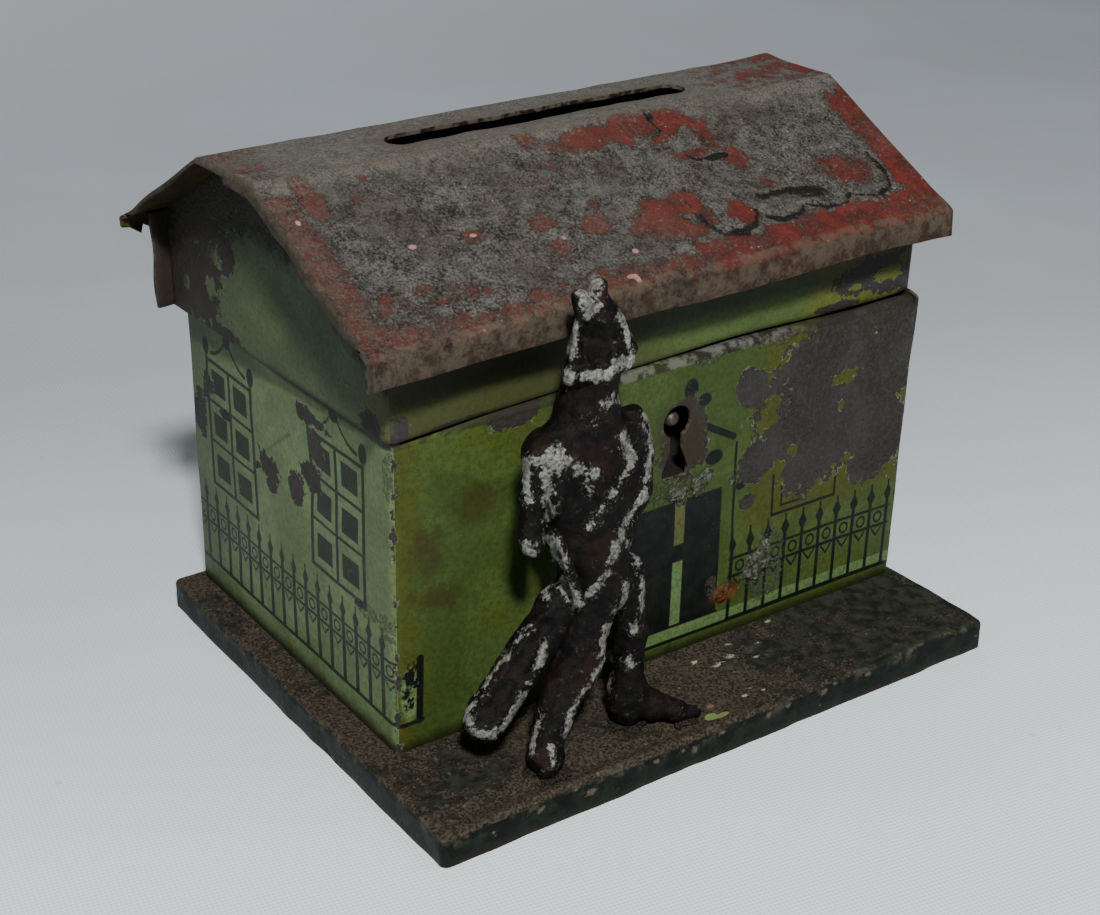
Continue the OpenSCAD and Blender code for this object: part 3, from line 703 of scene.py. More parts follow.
def roof_print(g):
    """Red printed roof with black scallops, mostly lost under caked grey-brown dust. Marks on the front slope
    are placed by x and by the way s up the slope from its eave."""
    slope_stretch = 1.1307
    body = g.body()
    x, y, z = g.split(g.plan())
    s = (y - EAVE_FRONT) * slope_stretch
    mottle = g.noise(body, 1.5, 5, 0.68, 0.3)
    cloud = g.noise(body, 8, 4, 0.6)
    slope = g.flat(x, s)
    wobbly = g.vector("ADD", slope, g.vector("SCALE", g.flat(mottle - 0.5, cloud - 0.5), scale=2.2))
    fine = g.noise(body, 0.26, 5, 0.78)
    front = g.under(y, -4.9, 0.3)
    rear = g.ease(y, 4.3, 4.9)

    marks = g.patches(slope, [
        (-8.4, 19.4, 1.1, 0.9), (-2.6, 17.7, 2.9, 1.0), (-1, 18.6, 1.6, 1.2), (3.6, 18.4, 2.6, 1.7),
        (8.4, 18.5, 2.2, 1.3), (10.6, 15.6, 1.1, 2.2), (8.6, 14, 1.7, 0.5), (12, 12.2, 1.1, 1.4),
        (-8.3, 15.9, 0.9, 0.7), (-9.5, 14.2, 0.6, 0.5), (-12.8, 9.4, 1.2, 0.8), (-12.6, 6.6, 1.2, 0.9),
        (-7.8, 8, 1.2, 1.1), (-6.6, 10.3, 0.5, 0.5), (0.6, 7.9, 2.6, 1.5), (-1.9, 6.2, 2.6, 1.5),
        (1.4, 5.2, 2.0, 1.1), (4, 6.4, 0.8, 1.5), (7.7, 5.4, 1.5, 1.4), (13.3, 8.5, 0.9, 0.9),
        (24, 7.6, 2.9, 1.6), (-20, 9.8, 1.0, 0.8), (-27.8, 16.6, 0.5, 0.7), (-26, 18.6, 0.4, 0.4),
        (-31.8, 17.2, 0.9, 2.4), (2.5, -1.0, 1.0, 0.8), (-32, -1.2, 0.9, 0.8)])
    stripe = g.top(g.ease(x + (mottle - 0.5) * 3, 26.8, 29.2),
                   g.ease(x + (mottle - 0.5) * 4, -32, -34.5) * 0.95,
                   g.ease(s + (mottle - 0.5) * 3, 4.4, 2.2) * g.ease(x, -6, 2),
                   g.ease(s + (mottle - 0.5) * 4, 3.6, 1.5) * 0.8,
                   g.within(s, 3.6, 6, 0.5) * g.ease(x, -18, -21) * 0.5)
    stripe = stripe * g.ease(s, 20.4, 16.5)
    rear_stripe = g.top(g.ease(abs(x + 2.4), 28, 31), g.ease(y, 15.5, 18.5))
    ends = g.top(g.ease(x, -31, -34), g.ease(x, 14, 24)) * 0.62
    paint = g.blend(rear, g.blend(front, ends, g.top(g.ease(marks, 2.1, 0.3), stripe)), rear_stripe * 0.9)
    flaked = g.noise(body, 3.4, 9, 0.78, 0.5)
    lip = g.top(g.ease(x, -35.7, -36), g.ease(x, 31.2, 31.5))
    shown = g.ease(paint * 1.1 + (flaked - 0.5) * 4.2 + (fine - 0.5) * 1.6 - lip * 0.6, 0.45, 0.85)

    ink = g.strokes(wobbly, [
        (3.0, 4.9, 4.3, 3.4, 0.17), (4.3, 3.4, 6.2, 3.0, 0.24), (6.2, 3.0, 8.3, 3.8, 0.22),
        (8.3, 3.8, 9.5, 5.4, 0.15), (9.9, 4.4, 11.6, 3.5, 0.18), (11.6, 3.5, 13.6, 3.5, 0.22),
        (13.6, 3.5, 15.1, 4.5, 0.16), (15.5, 4.4, 17, 3.3, 0.18), (17, 3.3, 19, 3.2, 0.22),
        (19, 3.2, 21, 4.5, 0.16), (21.4, 4.3, 24, 3.6, 0.12), (24.5, 3.7, 26.6, 4.4, 0.2),
        (26.6, 4.4, 27.4, 6.2, 0.2), (27.4, 6.2, 27.4, 9, 0.14),
        (11.1, 7.2, 14.5, 6.8, 0.32), (14.5, 6.8, 18.2, 5.7, 0.42), (15.6, 5.6, 18, 5.2, 0.22),
        (6.1, 14.3, 7.9, 13.2, 0.14), (7.9, 13.2, 11.4, 13.0, 0.18), (0.7, 16, 0.75, 20.2, 0.11),
        (6.2, 17.2, 6.25, 20.2, 0.12), (2.9, 5, 2.8, 8.3, 0.12), (-3.1, 5.5, -3.0, 8, 0.12),
        (-32.8, 4, -32.6, 19, 0.13), (-26.5, 13.4, -22.8, 14.5, 0.14), (-7, 13.5, -5.8, 13.7, 0.2),
        (-33, 3.8, -28, 3.3, 0.14), (-27, 5.2, -25, 3.5, 0.13), (-25, 3.5, -22, 4.0, 0.14),
        (-21, 4.6, -18.4, 3.3, 0.14), (-18.4, 3.3, -15.5, 4.9, 0.13), (-15.3, 4.9, -12.6, 3.3, 0.12),
        (-12.6, 3.3, -10.4, 4.0, 0.1)])
    bold = g.ease(x, -2, 6)
    ink = g.under(ink + (flaked - 0.5) * 2.2, bold * 0.12 - 0.04, 0.12) * (bold * 0.6 + 0.4)
    ink = ink * g.ease(fine + mottle * 0.4, 0.5, 0.66) * front
    rear_ink = g.within(y, 15.6, 15.95, 0.1) * g.ease(mottle, 0.48, 0.56) * rear

    dust = g.ease(g.noise(body, 0.25, 5, 0.8) + (mottle - 0.5) * 0.5, 0.36, 0.66)
    dust = g.blend(dust, tone(40, 37, 31), tone(150, 147, 137))
    dust = g.blend(g.ease(cloud, 0.42, 0.68) * 0.5, dust, tone(84, 72, 60))
    dust = g.blend(g.ease(flaked, 0.56, 0.7) * 0.5, dust, tone(52, 46, 38))
    dust = g.blend(g.ease(g.noise(body, 3.2, 4, 0.6), 0.52, 0.68) * 0.4, dust, tone(126, 130, 122))
    red = g.blend(g.ease(flaked, 0.36, 0.66), tone(84, 34, 27), tone(142, 52, 41))
    red = g.blend(g.ease(fine, 0.5, 0.7) * 0.45, red, tone(150, 112, 98))
    red = g.blend((1 - g.ease(x, -6, 8)) * 0.35 + 0.08, red, tone(104, 80, 68))
    # Pale speckles on the flat ridge top, at a higher gain than the rest: partly pale dust, partly painted
    # light where the ridge faces up.
    dust = g.blend(g.ease(z, 52.5, 54) * g.ease(fine, 0.36, 0.6) * 0.6, dust, tone(150, 146, 136, 0.4))
    veil = g.noise(body, 0.4, 6, 0.78) + (cloud - 0.5) * 0.5 + (1 - g.ease(x, -12, 10)) * 0.06
    veil = g.ease(veil, 0.5, 0.6)
    color = g.blend(shown * (1 - veil * 0.6), dust, red)
    color = g.blend(ink * 0.95, color, tone(24, 22, 19))
    color = g.blend(rear_ink * 0.8, color, tone(40, 38, 34))
    pits = g.under(g.grains(body, 0.62), 0.13, 0.06) * g.ease(mottle, 0.46, 0.6)
    color = g.blend(pits * 0.7, color, tone(46, 40, 34))
    bright = g.under(g.grains(g.vector("ADD", body, (7, 3, 1)), 1.1), 0.09, 0.05) * g.ease(mottle, 0.5, 0.58)
    color = g.blend(bright * 0.75, color, tone(206, 198, 184))
    chip = g.patches(slope, [
        (-8.5, 1.3, 0.55, 0.25), (-8.2, 0.9, 0.3, 0.5), (-6.2, 4, 0.3, 0.3), (-26, 10.1, 0.4, 0.25),
        (-34.3, 15, 0.22, 0.3), (-19.8, 10.1, 0.35, 0.2), (-11.8, 7.4, 0.2, 0.2)])
    color = g.blend(g.under(chip + (fine - 0.5) * 0.8, 1, 0.2), color, tone(226, 176, 162))
    fascia = g.ease(z, 44.45, 43.9) * (1 - g.ease(x, -36.1, -36.2)) * (1 - g.ease(x, 31.3, 31.4))
    rust = g.blend(g.ease(mottle, 0.4, 0.62), tone(72, 60, 48), tone(104, 92, 76))
    rust = g.blend(g.ease(fine, 0.55, 0.75) * 0.6, rust, tone(140, 128, 110))
    color = g.blend(fascia * 0.85, color, rust)
    bend = g.top(g.within(y, -5.5, -4.5, 0.3), g.within(y, 4.1, 4.9, 0.3), g.within(y, -23.2, -22.4, 0.2),
                 g.ease(x, -35.9, -36.1), g.ease(x, 31.1, 31.3))
    rubbed = bend * g.ease(mottle + fine * 0.3, 0.55, 0.7)
    color = g.blend(rubbed * 0.5, color, tone(128, 114, 96))
    lip_color = g.blend(g.ease(flaked, 0.42, 0.6), tone(62, 54, 42), tone(112, 102, 82))
    color = g.blend(lip * 0.6, color, lip_color)
    from_slot = g.flat(g.top(abs(x + 2.6) - SLOT_RUN, 0.0), y - SLOT_Y)
    slot_lip = g.under(g.vector("LENGTH", from_slot), 2.5, 0.4)
    slot_lip = slot_lip * g.ease(mottle, 0.4, 0.55)
    color = g.blend(slot_lip * 0.6, color, tone(120, 110, 96))
    height = (fine * 0.22 + mottle * 0.16) * (1 - shown * 0.4) + g.grains(body, 0.5) * 0.07
    return {"color": color, "rough": 0.74 + fine * 0.16, "height": height, "bump": 1.0}


def roof_underside(g):
    """Inside of the roof: gold-brown lacquer with dirt."""
    body = g.body()
    mottle = g.noise(body, 1.8, 5, 0.65)
    color = g.blend(g.ease(mottle, 0.4, 0.62), tone(84, 68, 30), tone(44, 38, 26))
    color = g.blend(g.ease(g.noise(body, 5, 3), 0.5, 0.66) * 0.8, color, tone(58, 64, 36))
    color = g.blend(g.under(g.grains(body, 0.7), 0.14, 0.05), color, tone(40, 34, 26))
    return {"color": color, "rough": 0.55, "height": mottle * 0.08 + g.noise(body, 0.4, 3) * 0.04}


def lid_print(g):
    """Plain green band and gables of the lid, tinted with brown and worn at the corners; a painted shadow of
    the eave darkens the top of the band, and dirt with painted shade darkens the left gable along the roof
    line.
    """
    body = g.body()
    x, y, z = g.split(g.plan())
    mottle = g.noise(body, 1.7, 5, 0.65, 0.3)
    cloud = g.noise(body, 8, 3, 0.6)
    fine = g.noise(body, 0.4, 4, 0.7)
    middle_x, half_x = (LID_LEFT + LID_RIGHT) / 2, (LID_RIGHT - LID_LEFT) / 2
    middle_y, half_y = (LID_FRONT + LID_REAR) / 2, (LID_REAR - LID_FRONT) / 2
    beside = (abs(x - middle_x) - half_x) - (abs(y - middle_y) - half_y)
    side = g.ease(beside, -0.05, 0.05)
    left = side * g.under(x, 0, 0.5)
    band = (1 - side) * g.under(y, 0, 0.5)
    green = g.blend(g.ease(x, -10, 2), tone(96, 102, 58), tone(110, 136, 74))
    green = g.blend(g.ease(x + (mottle - 0.5) * 6, 15, 18), green, tone(130, 138, 60))
    green = g.blend(side, green, g.blend(g.ease(cloud, 0.4, 0.62), tone(104, 120, 86), tone(120, 138, 100)))
    green = g.blend(g.ease(y, -13, -17) * left * 0.7, green, tone(106, 104, 56))
    green = g.blend(g.ease(cloud + (mottle - 0.5) * 0.6, 0.5, 0.64) * 0.4, green, tone(100, 96, 50))
    color = g.blend(g.ease(fine, 0.45, 0.62) * 0.3, green, tone(66, 72, 42))
    speck = g.under(g.grains(body, 0.6), 0.13, 0.05) * g.ease(mottle, 0.48, 0.6)
    color = g.blend(speck * 0.8, color, tone(34, 32, 22))
    on_left, on_band = g.flat(y, z), g.flat(x, z)
    roof_line = g.low(44 + (y - EAVE_FRONT) * 0.528, 53.5, 44 + (EAVE_REAR - y) * 0.581)
    # Dark band along the roof line on the left gable: partly dirt, partly painted shade under the roof's
    # overhang.
    grime_and_painted_shade = g.ease(roof_line - z + (mottle - 0.5) * 4.5 + (fine - 0.5) * 2, 9.2, 6.6) * left
    color = g.blend(grime_and_painted_shade * 0.88, color, g.blend(g.ease(fine, 0.4, 0.62), tone(24, 27, 18), tone(52, 58, 42)))
    left_bare = g.patches(on_left, [
        (14.5, 40, 5.5, 6), (13, 46, 5.5, 3.4), (18.5, 36, 3, 5), (8.2, 43, 1.6, 2.2),
        (3, 49.5, 6, 1.8), (-16.6, 35.6, 1.6, 1.2), (9, 35.2, 3, 0.8)])
    flecks = g.patches(on_left, [
        (11.6, 39, 0.8, 1.0), (14, 42, 0.6, 0.7), (9.6, 45.6, 0.8, 0.5), (16.5, 38, 0.5, 0.7)])
    band_bare = g.patches(on_band, [
        (26.5, 37.4, 6.6, 2.2), (31, 36, 2, 4), (-31.4, 35.4, 1.6, 1.4), (-9, 44.5, 6, 1.1),
        (12, 44.6, 7, 0.9), (-25, 34.6, 3, 0.35), (20.5, 35, 3.2, 0.5)])
    spared = g.patches(on_band, [(26.8, 37.2, 1.8, 0.7), (29.6, 38.6, 0.8, 0.5), (22.5, 36.6, 0.9, 0.4)])
    unseen = (g.noise(body, 10, 3, 0.5) - 0.56) * 9
    on_front = g.blend(band, unseen, g.low((1 - band_bare) * 2.4, spared - 1))
    reach = g.blend(left, on_front, g.low((1 - left_bare) * 2.2, (flecks - 1) * 0.9))
    worn = g.use(RAGGED, Where=body, Reach=reach, Rag=0.9)
    tin = g.use(TIN, Where=body)
    metal = g.blend(side * 0.5, tin["Color"], tone(62, 54, 42))
    color = g.blend(worn["Bare"], color, metal)
    color = g.blend(worn["Rim"] * 0.55, color, tone(160, 166, 140))
    foot = g.ease(z + (mottle - 0.5) * 0.6, 35.1, 34.5)
    color = g.blend(foot * 0.6, color, tone(54, 46, 34))
    # Painted shadow of the eave: a near-black tone over the top of the front band, where the eave's shadow
    # falls.
    painted_eave_shadow = g.ease(z + (fine - 0.5) * 0.5, 36.9, 38.3) * band
    color = g.blend(painted_eave_shadow * 0.62, color, tone(24, 24, 12))
    height = (1 - worn["Bare"]) * 0.08 + tin["Height"] * 0.8
    height = height + fine * 0.06 + mottle * 0.05 + grime_and_painted_shade * fine * 0.3
    return {"color": color, "rough": 0.5 + fine * 0.15, "height": height}


def brown_plate(g):
    """Rear wall of the lid: stripped, brown and pitted."""
    body = g.body()
    mottle = g.noise(body, 1.6, 5, 0.68)
    tin = g.use(TIN, Where=body)
    color = g.blend(0.6, tin["Color"], tone(84, 66, 50))
    color = g.blend(g.ease(mottle, 0.52, 0.64) * 0.6, color, tone(56, 46, 34))
    color = g.blend(g.ease(g.noise(body, 6, 3), 0.6, 0.66), color, tone(92, 104, 64))
    return {"color": color, "rough": 0.6, "height": tin["Height"] + mottle * 0.1}


def base_paint(g):
    """Black-green base under brown dust, with pale chips."""
    body = g.body()
    x, y, z = g.split(g.plan())
    mottle = g.noise(body, 1.5, 5, 0.66, 0.3)
    fine = g.noise(body, 0.3, 5, 0.75)
    top = g.ease(z, 2.6, 2.9)
    dark = g.blend(g.ease(mottle, 0.4, 0.62), tone(44, 47, 40), tone(72, 75, 64))
    rimpaint = g.blend(g.ease(mottle, 0.42, 0.6), tone(20, 27, 21), tone(40, 48, 38))
    color = g.blend(top, rimpaint, dark)
    amount = g.ease(x, 26, -8) * 0.42 + g.ease(y, -26, -31) * 0.12 + 0.18
    dust = g.use(GRIT, Where=body, Amount=amount * top + 0.02)
    brown = g.blend(g.ease(dust["Grain"], 0.38, 0.64), tone(44, 38, 29), tone(118, 108, 90))
    color = g.blend(dust["Cover"] * 0.85, color, brown)
    color = g.blend(g.ease(fine, 0.6, 0.72) * 0.4, color, tone(120, 118, 102))
    on_top = g.flat(x, y)
    chips = g.patches(on_top, [
        (5.4, -24.0, 0.8, 0.5), (3.4, -24.6, 0.9, 0.4), (6.6, -22.2, 0.5, 0.35), (1.6, -22.9, 0.4, 0.3),
        (13, -20.9, 0.5, 0.3), (3, -29.5, 0.35, 0.2), (1.8, -30.3, 0.4, 0.25), (4, -30.5, 0.25, 0.2),
        (7.5, -25.4, 0.5, 0.2), (9.5, -23.4, 0.3, 0.2)])
    chip = g.under(chips + (fine - 0.5) * 3.4 + (mottle - 0.5) * 2.4, 0.72, 0.15) * top
    color = g.blend(chip, color, tone(176, 190, 150, 0.4))
    leaf = g.patches(on_top, [(-3.1, -31.2, 0.65, 0.5), (-2.2, -31.6, 0.8, 0.35)]) + (mottle - 0.5)
    leaf = g.under(leaf, 1, 0.15)
    color = g.blend(leaf * top, color, tone(150, 170, 104))
    color = g.blend(g.under(g.patches(on_top, [(-2.2, -29.9, 0.4, 0.3)]), 1, 0.2), color, tone(156, 116, 96))
    specks = g.under(g.grains(body, 1.7), 0.1, 0.05) * g.ease(mottle, 0.48, 0.56)
    color = g.blend(specks * 0.7, color, tone(140, 140, 120))
    outer = g.top(g.ease(y, -32.7, -33.1), g.ease(x, -33.8, -34.2)) * g.ease(z, 1.6, 2.9)
    edge_wear = outer * g.ease(mottle + fine * 0.35, 0.7, 0.8)
    color = g.blend(edge_wear * 0.45, color, tone(124, 118, 98))
    rim_chips = g.patches(g.flat(x, z), [
        (-24, 2.1, 0.5, 0.4), (-18.5, 1.9, 0.6, 0.5), (-11, 2.3, 0.4, 0.3), (-6.5, 1.8, 0.4, 0.5),
        (-3.3, 2.4, 0.4, 0.3), (2.5, 2.2, 0.5, 0.4), (5, 2.5, 0.4, 0.3), (9.5, 2.2, 0.5, 0.4),
        (11, 2.6, 0.3, 0.2), (15.5, 2.4, 0.5, 0.3)])
    rim_chips = g.under(rim_chips + (fine - 0.5) * 3.4 + (mottle - 0.5) * 2, 0.75, 0.2) * g.under(y, -33, 0.1)
    color = g.blend(rim_chips * 0.8, color, tone(134, 124, 98))
    foot = g.ease(z + (mottle - 0.5) * 0.8, 1.1, 0.1)
    color = g.blend(foot * 0.6, color, tone(66, 56, 42))
    height = dust["Height"] + fine * 0.06 + chip * -0.08 + mottle * 0.08
    rough = g.blend(dust["Cover"], g.ease(fine, 0, 1) * 0.2 + 0.34, fine * 0.1 + 0.78)
    return {"color": color, "rough": rough, "height": height}


def lead(g):
    """Cast lead under black-brown paint that is left in the hollows and rubbed off the high places."""
    body = g.body()
    rub = Value(g, g.node("ShaderNodeAttribute", attribute_name="rubbed").outputs["Fac"])
    fine = g.noise(body, 0.33, 5, 0.72)
    mottle = g.noise(body, 1.1, 5, 0.68, 0.4)
    spots = g.ease(g.noise(body, 0.36, 4, 0.75), 0.57, 0.63)
    chips = g.noise(body, 1.1, 8, 0.76, 0.3)
    bare = g.ease(rub + (chips - 0.5) * 3.0 + (fine - 0.5) * 0.9, 0.42, 0.6)
    bare = g.top(bare, spots * g.ease(rub, -0.25, 0.1) * 0.8)
    paint = g.blend(g.ease(mottle, 0.42, 0.62), tone(20, 18, 17), tone(36, 31, 28))
    paint = g.blend(g.ease(g.noise(body, 4.5, 3), 0.54, 0.68) * 0.6, paint, tone(58, 38, 32))
    paint = g.blend(g.ease(fine, 0.56, 0.75) * 0.3, paint, tone(88, 84, 76))
    metal = g.blend(g.ease(fine, 0.35, 0.68), tone(78, 77, 71, 0.42), tone(172, 173, 165, 0.42))
    metal = g.blend(g.ease(g.noise(body, 2.4, 3), 0.5, 0.66) * 0.5, metal, tone(106, 102, 90, 0.6))
    color = g.blend(bare, paint, metal)
    height = (1 - bare) * 0.12 + fine * 0.16 + mottle * 0.14
    return {"color": color, "rough": 0.42 + fine * 0.2 + bare * 0.1, "height": height}


def solder(g):
    """Dull grey solder, dusty in its pits."""
    body = g.body()
    fine = g.noise(body, 0.3, 5, 0.75)
    mottle = g.noise(body, 1.0, 4, 0.65)
    color = g.blend(g.ease(fine, 0.35, 0.7), tone(60, 56, 48), tone(138, 138, 126))
    color = g.blend(g.ease(mottle, 0.42, 0.56) * 0.8, color, tone(62, 57, 46))
    return {"color": color, "rough": 0.6 + fine * 0.2, "height": fine * 0.14 + mottle * 0.1}


def crust(g):
    """Scars of old solder and flux: pale lumps with dirt between, and rust round the lowest one."""
    body = g.body()
    fine = g.noise(body, 0.28, 5, 0.75)
    mottle = g.noise(body, 0.9, 5, 0.7)
    x, y, z = g.split(g.plan())
    color = g.blend(g.ease(fine, 0.36, 0.62), tone(52, 50, 40), tone(150, 154, 136, 0.32))
    color = g.blend(g.ease(mottle, 0.44, 0.56) * 0.75, color, tone(56, 62, 38))
    porch = g.ease(y, -21.5, -22.5)
    color = g.blend(porch * 0.75, color, tone(64, 60, 48))
    rust = g.under(g.patches(g.flat(x, z), [(7.1, 7.9, 1.3, 1.1)]), 1, 0.2) * (1 - porch)
    rusty = g.blend(g.ease(mottle, 0.42, 0.58), tone(52, 26, 10), tone(150, 88, 30))
    color = g.blend(rust * 0.9, color, rusty)
    return {"color": color, "rough": 0.6 + fine * 0.2, "height": fine * 0.2 + mottle * 0.16}


def dusty_solder(g):
    """Solder under the feet, painted over and caked with the porch's dust."""
    body = g.body()
    fine = g.noise(body, 0.28, 5, 0.75)
    color = g.blend(g.ease(fine, 0.4, 0.62), tone(30, 27, 22), tone(78, 72, 60))
    return {"color": color, "rough": 0.8, "height": fine * 0.2}


def iron(g):
    """Brown tarnished iron with glints on its rubbed places."""
    body = g.body()
    fine = g.noise(body, 0.3, 4, 0.7)
    mottle = g.noise(body, 0.9, 4, 0.65)
    color = g.blend(g.ease(mottle, 0.42, 0.62), tone(62, 38, 24), tone(120, 104, 90))
    color = g.blend(g.ease(fine, 0.55, 0.7) * 0.5, color, tone(92, 48, 34))
    return {"color": color, "rough": 0.34 + fine * 0.25, "height": fine * 0.08 + mottle * 0.05,
            "metal": g.ease(mottle, 0.45, 0.6) * 0.5}


def spring_steel(g):
    """Thin rolled steel strip, fine-brushed along its length, with brown spots."""
    body = g.body()
    streak = g.noise(g.vector("MULTIPLY", body, (0.15, 1, 1)), 0.25, 4, 0.6)
    spot = g.ease(g.noise(body, 0.8, 4, 0.7), 0.56, 0.64)
    color = g.blend(streak, tone(110, 106, 98), tone(160, 156, 146))
    color = g.blend(spot, color, tone(96, 70, 48))
    return {"color": color, "rough": 0.32 + spot * 0.3, "height": streak * 0.03, "metal": 1 - spot}


# ---------------------------------------------------------------- pieces

def seam_rise(p):
    """Millimetres by which the seam between box and lid lies higher towards the front's right end."""
    high = np.interp(p[..., 0], [-32, -24, -16, -4, 6, 31], [0, 0.4, 0.55, 0.8, 0.95, 0.95])
    return high * np.clip((20 - p[..., 1]) / 39.5, 0, 1)


def line_normals(line):
    """Unit normals of a plan line, to the right of its direction."""
    along = np.gradient(line, axis=0)
    along /= np.linalg.norm(along, axis=1, keepdims=True)
    return np.stack([along[:, 1], -along[:, 0]], -1)


def build_walls(finishes):
    """Box walls: one strip carried round the plan outline, split at the keyhole, where its two edges stand
    apart by the hole's width, lapped at the rear, with a bead rolled along the front's top edge."""
    hole_z, hole_r = 28.7, 1.65
    near_hole = 4
    bead_z = BOX_TOP - BEAD
    heights = np.unique(np.concatenate([
        np.linspace(FLOOR_Z, 22.4, 25), [22.6, 22.79, 22.8], np.linspace(22.95, 26.9, 20),
        hole_z + hole_r * np.sin(np.radians(np.linspace(-72, 90, 16))), np.linspace(30.7, bead_z, 5)]))

    def half_hole(z):
        """Half width of the keyhole at height z: a round head over a flared slit."""
        head = np.sqrt(np.clip(hole_r ** 2 - (z - hole_z) ** 2, 0, None))
        slit = np.interp(z, [22.79, 22.8, 23.6, 25.7, 28.7, 28.71], [0, 1.5, 1.6, 0.75, 0.8, 0])
        return np.maximum(head, slit)

    def pushed(plan, normal):
        """Waves and dents along the wall's normal, none at the floor."""
        free = smooth((plan[..., 2] - FLOOR_Z) / 4)
        amount = 0.09 * ripple(plan, 24, 3) + 0.03 * ripple(plan, 7, 4)
        amount = amount + dent(plan, (-WALL_X, -5, 25), 3, -0.25) + dent(plan, (16, -WALL_Y, 23), 7, -0.3)
        amount = amount + dent(plan, (-25, -WALL_Y, 12), 6, 0.2) + dent(plan, (WALL_X, 4, 22), 8, -0.35)
        out = plan.copy()
        out[..., :2] += normal * (amount * free)[..., None]
        return out

    lap = WALL_Y - 0.43
    right = bent_line([(0, -WALL_Y, 0), (WALL_X, -WALL_Y, 1), (WALL_X, WALL_Y, 1), (15, WALL_Y, 0)], 0.8)
    left = bent_line([(19, lap, 0), (15.4, lap, 0.3), (14.4, WALL_Y, 0.3), (-WALL_X, WALL_Y, 1),
                      (-WALL_X, -WALL_Y, 1), (0, -WALL_Y, 0)], 0.8)
    grids = []
    for line, sign in ((right, 1), (left, -1)):
        z = heights[:, None] * np.ones(len(line))
        x, y = (line[:, i] * np.ones_like(z) for i in (0, 1))
        near = (y < -WALL_Y + 0.01) & (abs(x) < near_hole)
        x = np.where(near, sign * half_hole(z) + x * (near_hole - half_hole(z)) / near_hole, x)
        plan = np.stack([x, y, z], -1)
        body = pushed(plan, line_normals(line))
        grids.append((body, plan))
        flat = (y[0] < -WALL_Y + 0.001) & (abs(x[0]) < WALL_X - 0.999)
        first, last = np.flatnonzero(flat)[[0, -1]]
        t = np.radians(np.linspace(0, 292, 22))[:, None]
        curl = np.stack([0 * t, BEAD * (1 - np.cos(t)), BEAD * np.sin(t)], -1)
        edge, edge_plan = body[-1:, first:last + 1], plan[-1:, first:last + 1]
        wavy = 1 + 0.06 * ripple(edge, 9, 8)[..., None]
        grids.append((edge + curl * wavy, edge_plan + curl * np.array([0, 0.02, 1])))
        part = slice(last, None) if sign > 0 else slice(0, first + 1)
        rise = np.linspace(0, BEAD, 4)[:, None, None] * np.array([0, 0, 1.0])
        grids.append((body[-1:, part] + rise, plan[-1:, part] + rise))
    points, faces, plan = join_grids(grids)
    top = smooth((points[:, 2] - 30.9) / 2.6)
    right_top = smooth((points[:, 0] - 27) / 4) * smooth((points[:, 2] - 27) / 7)
    corner = np.exp(-((points[:, 0] - WALL_X) ** 2 + (points[:, 1] + WALL_Y) ** 2) / 1.4) * top
    points[:, 2] += seam_rise(points) * top - 0.55 * corner
    points[:, 0] += 0.4 * right_top * smooth((16 - points[:, 1]) / 30)

    def beyond_front(p):
        """0 on the front wall and its bead, 1 on the other walls."""
        front = (p[:, 1] < 0) & (abs(p[:, 0]) - WALL_X < abs(p[:, 1]) - WALL_Y)
        rolled = (p[:, 1] < -16) & (p[:, 2] > BOX_TOP - 0.79) & (abs(p[:, 0]) < WALL_X - 1)
        return ~(front | rolled)

    make("walls", placed(points), faces, plan, "box", ["box_walls"], finishes,
         SHEET, SHEARED_EDGE, beyond_front)


def build_lid_walls(finishes):
    """Front band and gables: one strip carried round three sides, its top cut to just under the roof."""
    line = bent_line([(LID_LEFT, LID_REAR, 0), (LID_LEFT, LID_FRONT, 1), (LID_RIGHT, LID_FRONT, 1),
                      (LID_RIGHT, LID_REAR, 0)], 0.8)
    normal = line_normals(line)
    x, y = line[:, 0], line[:, 1]
    under = 0.5
    front_slope = EAVE_Z - under + (y - EAVE_FRONT) * (RIDGE_Z - EAVE_Z) / (RIDGE_FRONT - EAVE_FRONT)
    rear_slope = EAVE_Z - under + (EAVE_REAR - y) * (RIDGE_Z - EAVE_Z) / (EAVE_REAR - RIDGE_REAR)
    top = np.minimum(np.minimum(front_slope, RIDGE_Z - under), rear_slope)
    w = np.linspace(0, 1, 22)[:, None]
    z = LID_Z + w * (top - LID_Z)
    plan = np.stack([x * np.ones_like(z), y * np.ones_like(z), z], -1)
    body = plan.copy()
    corner = np.exp(-((x - LID_RIGHT) ** 2 + (y - LID_FRONT) ** 2) / 2.5)
    closer = (0.2 + 0.4 * smooth((x - 4) / 16)) * (LID_REAR - y) / (LID_REAR - LID_FRONT)
    body[..., 2] += (seam_rise(plan) - closer + 0.2 * corner) * (1 - w)
    amount = 0.07 * ripple(plan, 21, 12) + 0.025 * ripple(plan, 6, 13)
    amount = amount + dent(plan, (LID_LEFT, -2, 42), 5, -0.3)
    body[..., :2] += normal * amount[..., None] * smooth((53.5 - z) / 3)[..., None]
    points, faces, plan = join_grids([(body, plan)])
    make("lid_band", placed(points, LID_SKEW), faces, plan, "lid", ["lid_walls"], finishes,
         SHEET, SHEARED_EDGE)


def build_lid_rear(finishes):
    """Rear plate of the lid: a wavy sheet whose free left end is slightly turned and nibbled."""
    x = np.linspace(LID_RIGHT, -33.9, 82)
    z = np.linspace(LID_Z, 44.35, 14)[:, None]
    plan = np.stack([x * np.ones_like(z), 20.2 + 0 * (x * z), z * np.ones_like(x)], -1)
    body = plan.copy()
    free = smooth((-31.5 - x) / 2.4)
    body[..., 1] += 0.05 * ripple(plan, 18, 21) * smooth(abs(x + 2.4) / 14) - 0.25 * free
    body[..., 0] += free * 0.22 * ripple(plan, 5, 22)
    points, faces, plan = join_grids([(body, plan)])
    make("lid_rear_plate", placed(points, LID_SKEW), faces, plan, "lid", ["lid_rear_wall"],
         finishes, SHEET, SHEARED_EDGE)


